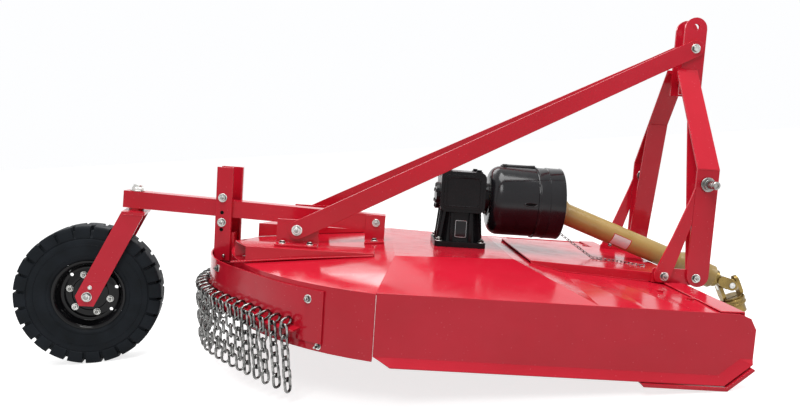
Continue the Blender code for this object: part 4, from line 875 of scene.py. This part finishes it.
def gearbox_fittings():
    """Bolts, bosses, ribs and side covers of the cast housing, and its blank plate with a bright border."""
    black, zinc = bmesh.new(), bmesh.new()
    for sx in (-1, 1):
        for sy in (-1, 1):
            foot = (sx * FOOT_BOLT, sy * FOOT_BOLT, FOOT_FACE)
            nut(zinc, foot, (0, 0, 1), 0.015, 0.007, 0.3 * sx, washer=0.0225, stud=0.0035)
            lid = Vector((sx * LID_BOLT, sy * LID_BOLT, LID_FACE))
            lathe(black, LID_BOSS, frame_on((0, 0, 1), lid), 24)
            nut(black, lid + Vector((0, 0, 0.003)), (0, 0, 1), 0.013, 0.0055, 0.2)
    for s in (-1, 1):
        for x in (-RIB_APART, RIB_APART):
            lean = Matrix.Translation((x, s * RIB_OUT, RIB_Z)) @ Matrix.Rotation(s * RIB_LEAN, 4, "X")
            block(black, (-RIB_THICK, -RIB_DEEP, -RIB_HIGH), (RIB_THICK, RIB_DEEP, RIB_HIGH), lean, 0.0015)
            lean = Matrix.Translation((s * RIB_OUT, x, RIB_Z)) @ Matrix.Rotation(-s * RIB_LEAN, 4, "Y")
            block(black, (-RIB_DEEP, -RIB_THICK, -RIB_HIGH), (RIB_DEEP, RIB_THICK, RIB_HIGH), lean, 0.0015)
        face = s * COVER_FACE
        seam = [(u, face, COVER_Z + w) for u, w in rounded_ring(0.04, 0.0335, 0.009, 6)]
        tube(black, seam, 0.0014, 8, closed=True)
        for u in (-0.0465, 0.0465):
            for w in (-0.04, 0.04):
                nut(black, (u, face - s * 0.0006, COVER_Z + w), (0, s, 0), 0.008, 0.0038, 0.3)
    # the rear cap and the front flange: place, direction, bolt circle, number and height of the bolts
    for bm, x, way, r, count, height in ((black, -0.077, -1, 0.031, 6, 0.003),
                                         (zinc, 0.067, 1, 0.056, 4, 0.0055)):
        for u, w in circle(r, count, math.pi / count):
            nut(bm, (x, u, SHAFT_Z + w), (way, 0, 0), 0.01, height, 0.2)
    settle("gearbox_fittings", black, DECK, "frame", "black_paint")
    settle("gearbox_bolts", zinc, DECK, "frame", "zinc_plate", FASTENER)
    plate, edge = bmesh.new(), bmesh.new()
    at = Matrix.Translation(PLATE_PLACE) @ Matrix.Rotation(-RIB_LEAN, 4, "X")
    block(plate, (-0.018, -0.0006, -0.026), (0.018, 0.0008, 0.026), at, 0.0005)
    border = [at @ Vector((u, -0.0008, w)) for u, w in rounded_ring(0.0135, 0.0215, 0.003, 4)]
    tube(edge, border, 0.0008, 6, closed=True)
    settle("blank_plate", plate, DECK, "frame", "black_paint", MATERIALS["black_plastic"])
    settle("blank_plate_border", edge, DECK, "frame", "zinc_plate", SILVER)


# Shield of the shaft, in the deck's frame

BELL_Z = 0.345
BELL_R = 0.1048
BELL_BACK = 0.0826
BELL_BEND = 0.034
BELL_WALL = 0.004
BELL_SHOULDER_R = 0.1045
BELL_HUB_R = 0.05
BELL_OUTSIDE = [(BELL_R, 0.2185), (0.1078, 0.2195), (0.1086, 0.2215), (0.1086, 0.224), (0.1072, 0.2262),
                (0.1064, 0.2275), (0.1066, 0.2535), (0.1084, 0.255), (0.1086, 0.257), (0.1078, 0.259),
                (0.1079, 0.296), (0.1088, 0.297), (0.1088, 0.2992), (0.108, 0.3)]
BELL_INSIDE = [(0.105, 0.3), (0.104, 0.2985), (0.1035, 0.228), (0.1008, 0.225)]
# The hinge rib: x, height over the bell's shoulder and radius
RIB_LINE = [(0.118, -0.006, 0.004), (0.12, -0.001, 0.006), (0.124, 0.0006, 0.0064), (0.2, 0.0008, 0.0064),
            (0.221, 0.002, 0.0064)]
SLOT_X = 0.196
SLOT_HALF = (0.019, 0.0052)


def bell_bend(radius):
    """The bend from the bell's back to its side, for a face at this radius about the bend's centre."""
    turns = [math.radians(9 * i) for i in range(11)]
    return [(BELL_SHOULDER_R - BELL_BEND + radius * math.sin(t), BELL_BACK + BELL_BEND - radius * math.cos(t))
            for t in turns]


def shield():
    """Bell-shaped guard of the shaft: domed back, two bands, a hinge rib on top and a finger slot whose
    opening is a patch of painted shade in a raised rim.
    """
    bm = bmesh.new()
    outside = [(BELL_HUB_R, BELL_BACK)] + bell_bend(BELL_BEND) + BELL_OUTSIDE
    inside = BELL_INSIDE + bell_bend(BELL_BEND - BELL_WALL)[::-1] + [(BELL_HUB_R, BELL_BACK + BELL_WALL)]
    lathe(bm, outside + inside, Matrix.Translation((0, 0, BELL_Z)) @ TO_X, 80)
    settle("pto_shield_made", bm, DECK, "frame", "black_plastic", nodes=("pto_shield",), angle=40)
    extra, dark = bmesh.new(), bmesh.new()
    top = BELL_Z + BELL_SHOULDER_R
    tube(extra, [(x, 0, top + z) for x, z, r in RIB_LINE], [r for x, z, r in RIB_LINE], 14)
    lathe(extra, [(0, -0.004), (0.008, -0.004), (0.008, 0.003), (0.0065, 0.0045), (0, 0.0045)],
          frame_on((0, 0, 1), (0.129, 0, top + 0.003)), 24)
    for s in (-1, 1):
        rim_line = []
        for c, d in circle(1, 24):
            x, z = SLOT_X + SLOT_HALF[0] * c, SLOT_HALF[1] * d
            rim_line.append((x, s * math.sqrt(BELL_R ** 2 - z ** 2), BELL_Z + z))
        tube(extra, rim_line, 0.0016, 8, closed=True)
        # the slot is not cut: a flat fan of painted shade fills it inside the rim
        centre = dark.verts.new((SLOT_X, s * (BELL_R + 0.0001), BELL_Z))
        ring = [dark.verts.new((x, y * 1.001, z)) for x, y, z in rim_line]
        for here, there in zip(ring, ring[1:] + ring[:1]):
            dark.faces.new((centre, here, there))
    settle("shield_rib", extra, DECK, "frame", "black_plastic")
    settle("shield_slot_shade", dark, DECK, "frame", "black_plastic", HOLE_SHADE)


# Drive shaft, in its own frame

GUARD_TUBE = [(0, 0.0755), (0.0235, 0.0755), (0.0235, 0.052), (0.0435, 0.052), (0.0445, 0.053),
              (0.0445, 0.0655), (0.0425, 0.068), (0.0335, 0.083), (0.0325, 0.087), (0.0325, 0.462),
              (0.0336, 0.464), (0.0336, 0.469), (0.033, 0.471), (0.0448, 0.503), (0.046, 0.507),
              (0.046, 0.519), (0.045, 0.52), (0.0425, 0.52), (0.0415, 0.507), (0.03, 0.472), (0.0285, 0.46),
              (0.0285, 0.19), (0, 0.19)]
INNER_TUBE = [(0, 0.25), (0.028, 0.25), (0.028, 0.556), (0.029, 0.56), (0.0355, 0.569), (0.036, 0.571),
              (0.036, 0.5905), (0.035, 0.5915), (0.025, 0.592), (0, 0.592)]
LABEL_TURN = 205  # degrees round the tube
LABEL_STEPS = 8
LABEL_THICK = 0.0004


def wrapped(bm, low, high, half, radius):
    """A label that lies round a tube: a thin closed patch, half as many degrees to either side."""
    outer = radius + LABEL_THICK
    rings = []
    for i in range(LABEL_STEPS + 1):
        t = math.radians(LABEL_TURN - half + 2 * half * i / LABEL_STEPS)
        corners = ((low, radius), (high, radius), (high, outer), (low, outer))
        rings.append([bm.verts.new((x, r * math.cos(t), r * math.sin(t))) for x, r in corners])
    skin(bm, rings)
    bm.faces.new(rings[0])
    bm.faces.new(rings[-1])


def drive_shaft():
    """Guard tube with its bell ends and blank label, and the inner tube that slides in it."""
    bm = bmesh.new()
    lathe(bm, GUARD_TUBE, TO_X, 56)
    settle("drive_guard_made", bm, DRIVE, "drive_guard", "tan_plastic", nodes=("drive_guard",), angle=40)
    white, red, screw = bmesh.new(), bmesh.new(), bmesh.new()
    wrapped(red, 0.242, 0.302, 34, 0.03235)
    wrapped(white, 0.2445, 0.2995, 31, 0.03262)
    nut(screw, (0.252, -0.01, -0.0318), (0, -0.3, -0.95), 0.009, 0.005, 0.2, washer=0.013)
    settle("tube_label_border", red, DRIVE, "drive_guard", "red_paint")
    settle("tube_label", white, DRIVE, "drive_guard", "tan_plastic", LABEL)
    settle("tube_screw", screw, DRIVE, "drive_guard", "zinc_plate", FASTENER)
    inner = bmesh.new()
    lathe(inner, INNER_TUBE, TO_X, 48)
    settle("drive_inner_made", inner, DRIVE, "drive_inner", "tan_plastic", nodes=("drive_inner",), angle=40)


# Crosses and yokes, in the row's frame

BEARING_CAP = [(0, 0.033), (0.0092, 0.033), (0.0092, 0.0341), (0.0082, 0.0346), (0.005, 0.0343), (0, 0.0343)]
NIPPLE = [(0, 0.01), (0.003, 0.01), (0.003, 0.016), (0.0015, 0.0175), (0.0022, 0.019), (0, 0.02)]
TRACTOR_COLLAR = [(0.0298, 0.047), (0.035, 0.047), (0.0368, 0.049), (0.0368, 0.054), (0.034, 0.0565),
                  (0.034, 0.06), (0.0366, 0.0625), (0.0366, 0.0665), (0.035, 0.068), (0.0298, 0.068)]
END_COLLAR = [(0.0218, 0.0425), (0.0265, 0.0425), (0.0275, 0.0435), (0.0275, 0.0545), (0.0265, 0.0555),
              (0.0218, 0.0555)]


def yoke_fittings():
    """Bearing caps and a grease nipple on each cross, and collars on the hubs of two yokes."""
    centre = joint_place("yoke_spin")
    for body, first, second, place in (
            ("end_cross", "yoke_bend", "yoke_turn", centre),
            ("drive_cross", "drive_lift", "drive_swing", joint_place("drive_swing"))):
        bm = bmesh.new()
        arm, other_arm = joint_axis(first), joint_axis(second)
        for axis in (arm, -arm, other_arm, -other_arm):
            lathe(bm, BEARING_CAP, frame_on(axis, place), 28)
        lathe(bm, NIPPLE, frame_on(other_arm.cross(arm), place), 14)
        settle(body + "_caps", bm, Matrix(), body, "zinc_plate")
    hub = joint_axis("yoke_turn").cross(joint_axis("yoke_bend"))
    if hub.z > 0:
        hub = -hub
    bm = bmesh.new()
    lathe(bm, TRACTOR_COLLAR, frame_on(hub, centre), 48)
    settle("tractor_yoke_collar", bm, Matrix(), "tractor_yoke", "yellow_zinc")
    bm = bmesh.new()
    lathe(bm, END_COLLAR, frame_on(-joint_axis("yoke_spin"), centre), 40)
    settle("end_yoke_collar", bm, Matrix(), "end_yoke", "yellow_zinc")


# Safety chain, in the deck's frame

SAFETY_LINE = [(0.295, -0.07, 0.264), (0.325, -0.0705, 0.244), (0.372, -0.07, 0.214), (0.4, -0.0698, 0.1958),
               (0.4803, -0.0814, 0.1912), (0.5398, -0.1337, 0.1888)]
SAFETY_PITCH = 0.0118


def safety_chain():
    """Thin chain from the shield's rim, lying on the front band."""
    path = [Vector(p) for p in SAFETY_LINE]
    marks = [0.0]
    for p, q in zip(path, path[1:]):
        marks.append(marks[-1] + (q - p).length)
    bm = bmesh.new()
    for i in range(int(marks[-1] / SAFETY_PITCH)):
        d = (i + 0.5) * SAFETY_PITCH
        k = max(j for j in range(len(marks) - 1) if marks[j] <= d)
        along = (path[k + 1] - path[k]).normalized()
        flat = along.cross(Vector((0, 0, 1))).normalized()
        upright = along.cross(flat)
        across = Matrix.Rotation(math.radians(45), 3, along) @ (flat if i % 2 else upright)
        link(bm, path[k] + along * (d - marks[k]), along, across, 0.007, 0.0034, 0.0022)
    settle("safety_chain", bm, DECK, "frame", "zinc_plate", CHAIN, angle=80)


# Stage

def seen_or_mirrored(tree, low, extra):
    """A strength of low, with extra for what the camera sees directly, in a reflection or through glass."""
    rays = tree.nodes.new("ShaderNodeLightPath")
    seen = None
    for ray in ("Is Camera Ray", "Is Glossy Ray", "Is Transmission Ray"):
        if seen is None:
            seen = rays.outputs[ray]
            continue
        either = tree.nodes.new("ShaderNodeMath")
        either.operation = "MAXIMUM"
        tree.links.new(seen, either.inputs[0])
        tree.links.new(rays.outputs[ray], either.inputs[1])
        seen = either.outputs[0]
    power = tree.nodes.new("ShaderNodeMath")
    power.operation = "MULTIPLY_ADD"
    power.inputs[1].default_value = extra
    power.inputs[2].default_value = low
    tree.links.new(seen, power.inputs[0])
    return power.outputs[0]


def white_floor():
    """Pale floor that shows white where it is lit and keeps the shadow."""
    mat, tree, bsdf = shader("pale_floor", (0.5, 0.5, 0.5), 0.0, 0.9, specular=0.1)
    glow = tree.nodes.new("ShaderNodeEmission")
    tree.links.new(seen_or_mirrored(tree, 0.0, 0.77), glow.inputs["Strength"])
    both = tree.nodes.new("ShaderNodeAddShader")
    tree.links.new(bsdf.outputs[0], both.inputs[0])
    tree.links.new(glow.outputs[0], both.inputs[1])
    tree.links.new(both.outputs[0], tree.nodes["Material Output"].inputs["Surface"])
    return mat


def stage():
    """A floor that reaches far past the picture."""
    half = 40
    corners = [(-half, -half, 0), (half, -half, 0), (half, half, 0), (-half, half, 0)]
    mesh = bpy.data.meshes.new("floor")
    mesh.from_pydata(corners, [], [(0, 1, 2, 3)])
    floor = add_object("floor", mesh)
    floor.data.materials.append(white_floor())


# Name, place, size, power and the point it looks at
LAMPS = [
    ("key", (-0.7, -2.8, 3.5), 1.6, 64, (0, 0, 0.3)),
    ("top", (0.2, -0.3, 3.8), 2.2, 118, (0, 0, 0.2)),
    ("side", (3.6, -0.6, 1.9), 1.4, 28, (0.4, 0, 0.4)),
    ("back", (-0.6, 3.2, 2.8), 2, 40, (0, 0, 0.3)),
]


def lights():
    """Soft lamps, and a world that is white where it is seen and dimmer as a light."""
    world = bpy.data.worlds.new("studio")
    bpy.context.scene.world = world
    world.use_nodes = True
    sky = world.node_tree.nodes["Background"]
    sky.inputs["Color"].default_value = (0.985, 0.99, 1, 1)
    world.node_tree.links.new(seen_or_mirrored(world.node_tree, 0.42, 0.58), sky.inputs["Strength"])
    for name, place, size, power, aim in LAMPS:
        lamp = bpy.data.lights.new(name, "AREA")
        lamp.size = size
        lamp.energy = power
        ob = add_object(name, lamp)
        ob.location = place
        ob.rotation_euler = (Vector(aim) - Vector(place)).to_track_quat("-Z", "Y").to_euler()


def camera():
    """The photograph's camera."""
    data = bpy.data.cameras.new("camera")
    data.sensor_width = SENSOR
    data.lens = SENSOR * CAMERA_FOCAL
    ob = add_object("camera", data)
    # yaw about z first, then pitch about x, then roll about y, all about the deck's fixed axes
    yaw = Matrix.Rotation(math.radians(CAMERA_YAW), 3, "Z")
    pitch = Matrix.Rotation(math.radians(CAMERA_PITCH), 3, "X")
    roll = Matrix.Rotation(math.radians(CAMERA_ROLL), 3, "Y")
    right, forward, up = (roll @ pitch @ yaw).col
    ob.matrix_world = DECK @ axes(right, up, -forward, Vector(CAMERA_PLACE))
    bpy.context.scene.camera = ob


# Everything together

# Nodes that are modelled anew above; all others are softened, some with edges of their own width and angle
MADE = {"tyre", "wheel_rim", "chain_curtain", "castor_nut", "axle_bolt", "hitch_pin_left", "hitch_pin_right",
        "clevis_bolt", "pto_shield", "drive_guard", "drive_inner"}
FOLDS = {"deck_pan": (0.003, 2.5), "front_band": (0.003, 2.5), "rear_rail_left": (0.002, 12),
         "rear_rail_right": (0.002, 12), "gearbox": (0.0022, 24), "end_yoke": (0.0016, 25),
         "tractor_yoke": (0.0016, 25), "front_fascia": (0.002, 12)}
EDGE = (0.0011, 25)
for node in sorted(NODES):
    if node not in MADE:
        refine(node, *FOLDS.get(node, EDGE))
tyre()
rim()
chain_curtain()
castor_fittings()
deck_fasteners()
hitch_pins()
deck_welds()
gearbox_fittings()
shield()
drive_shaft()
yoke_fittings()
safety_chain()
stage()
lights()
camera()
bpy.context.scene.view_settings.view_transform = "Standard"
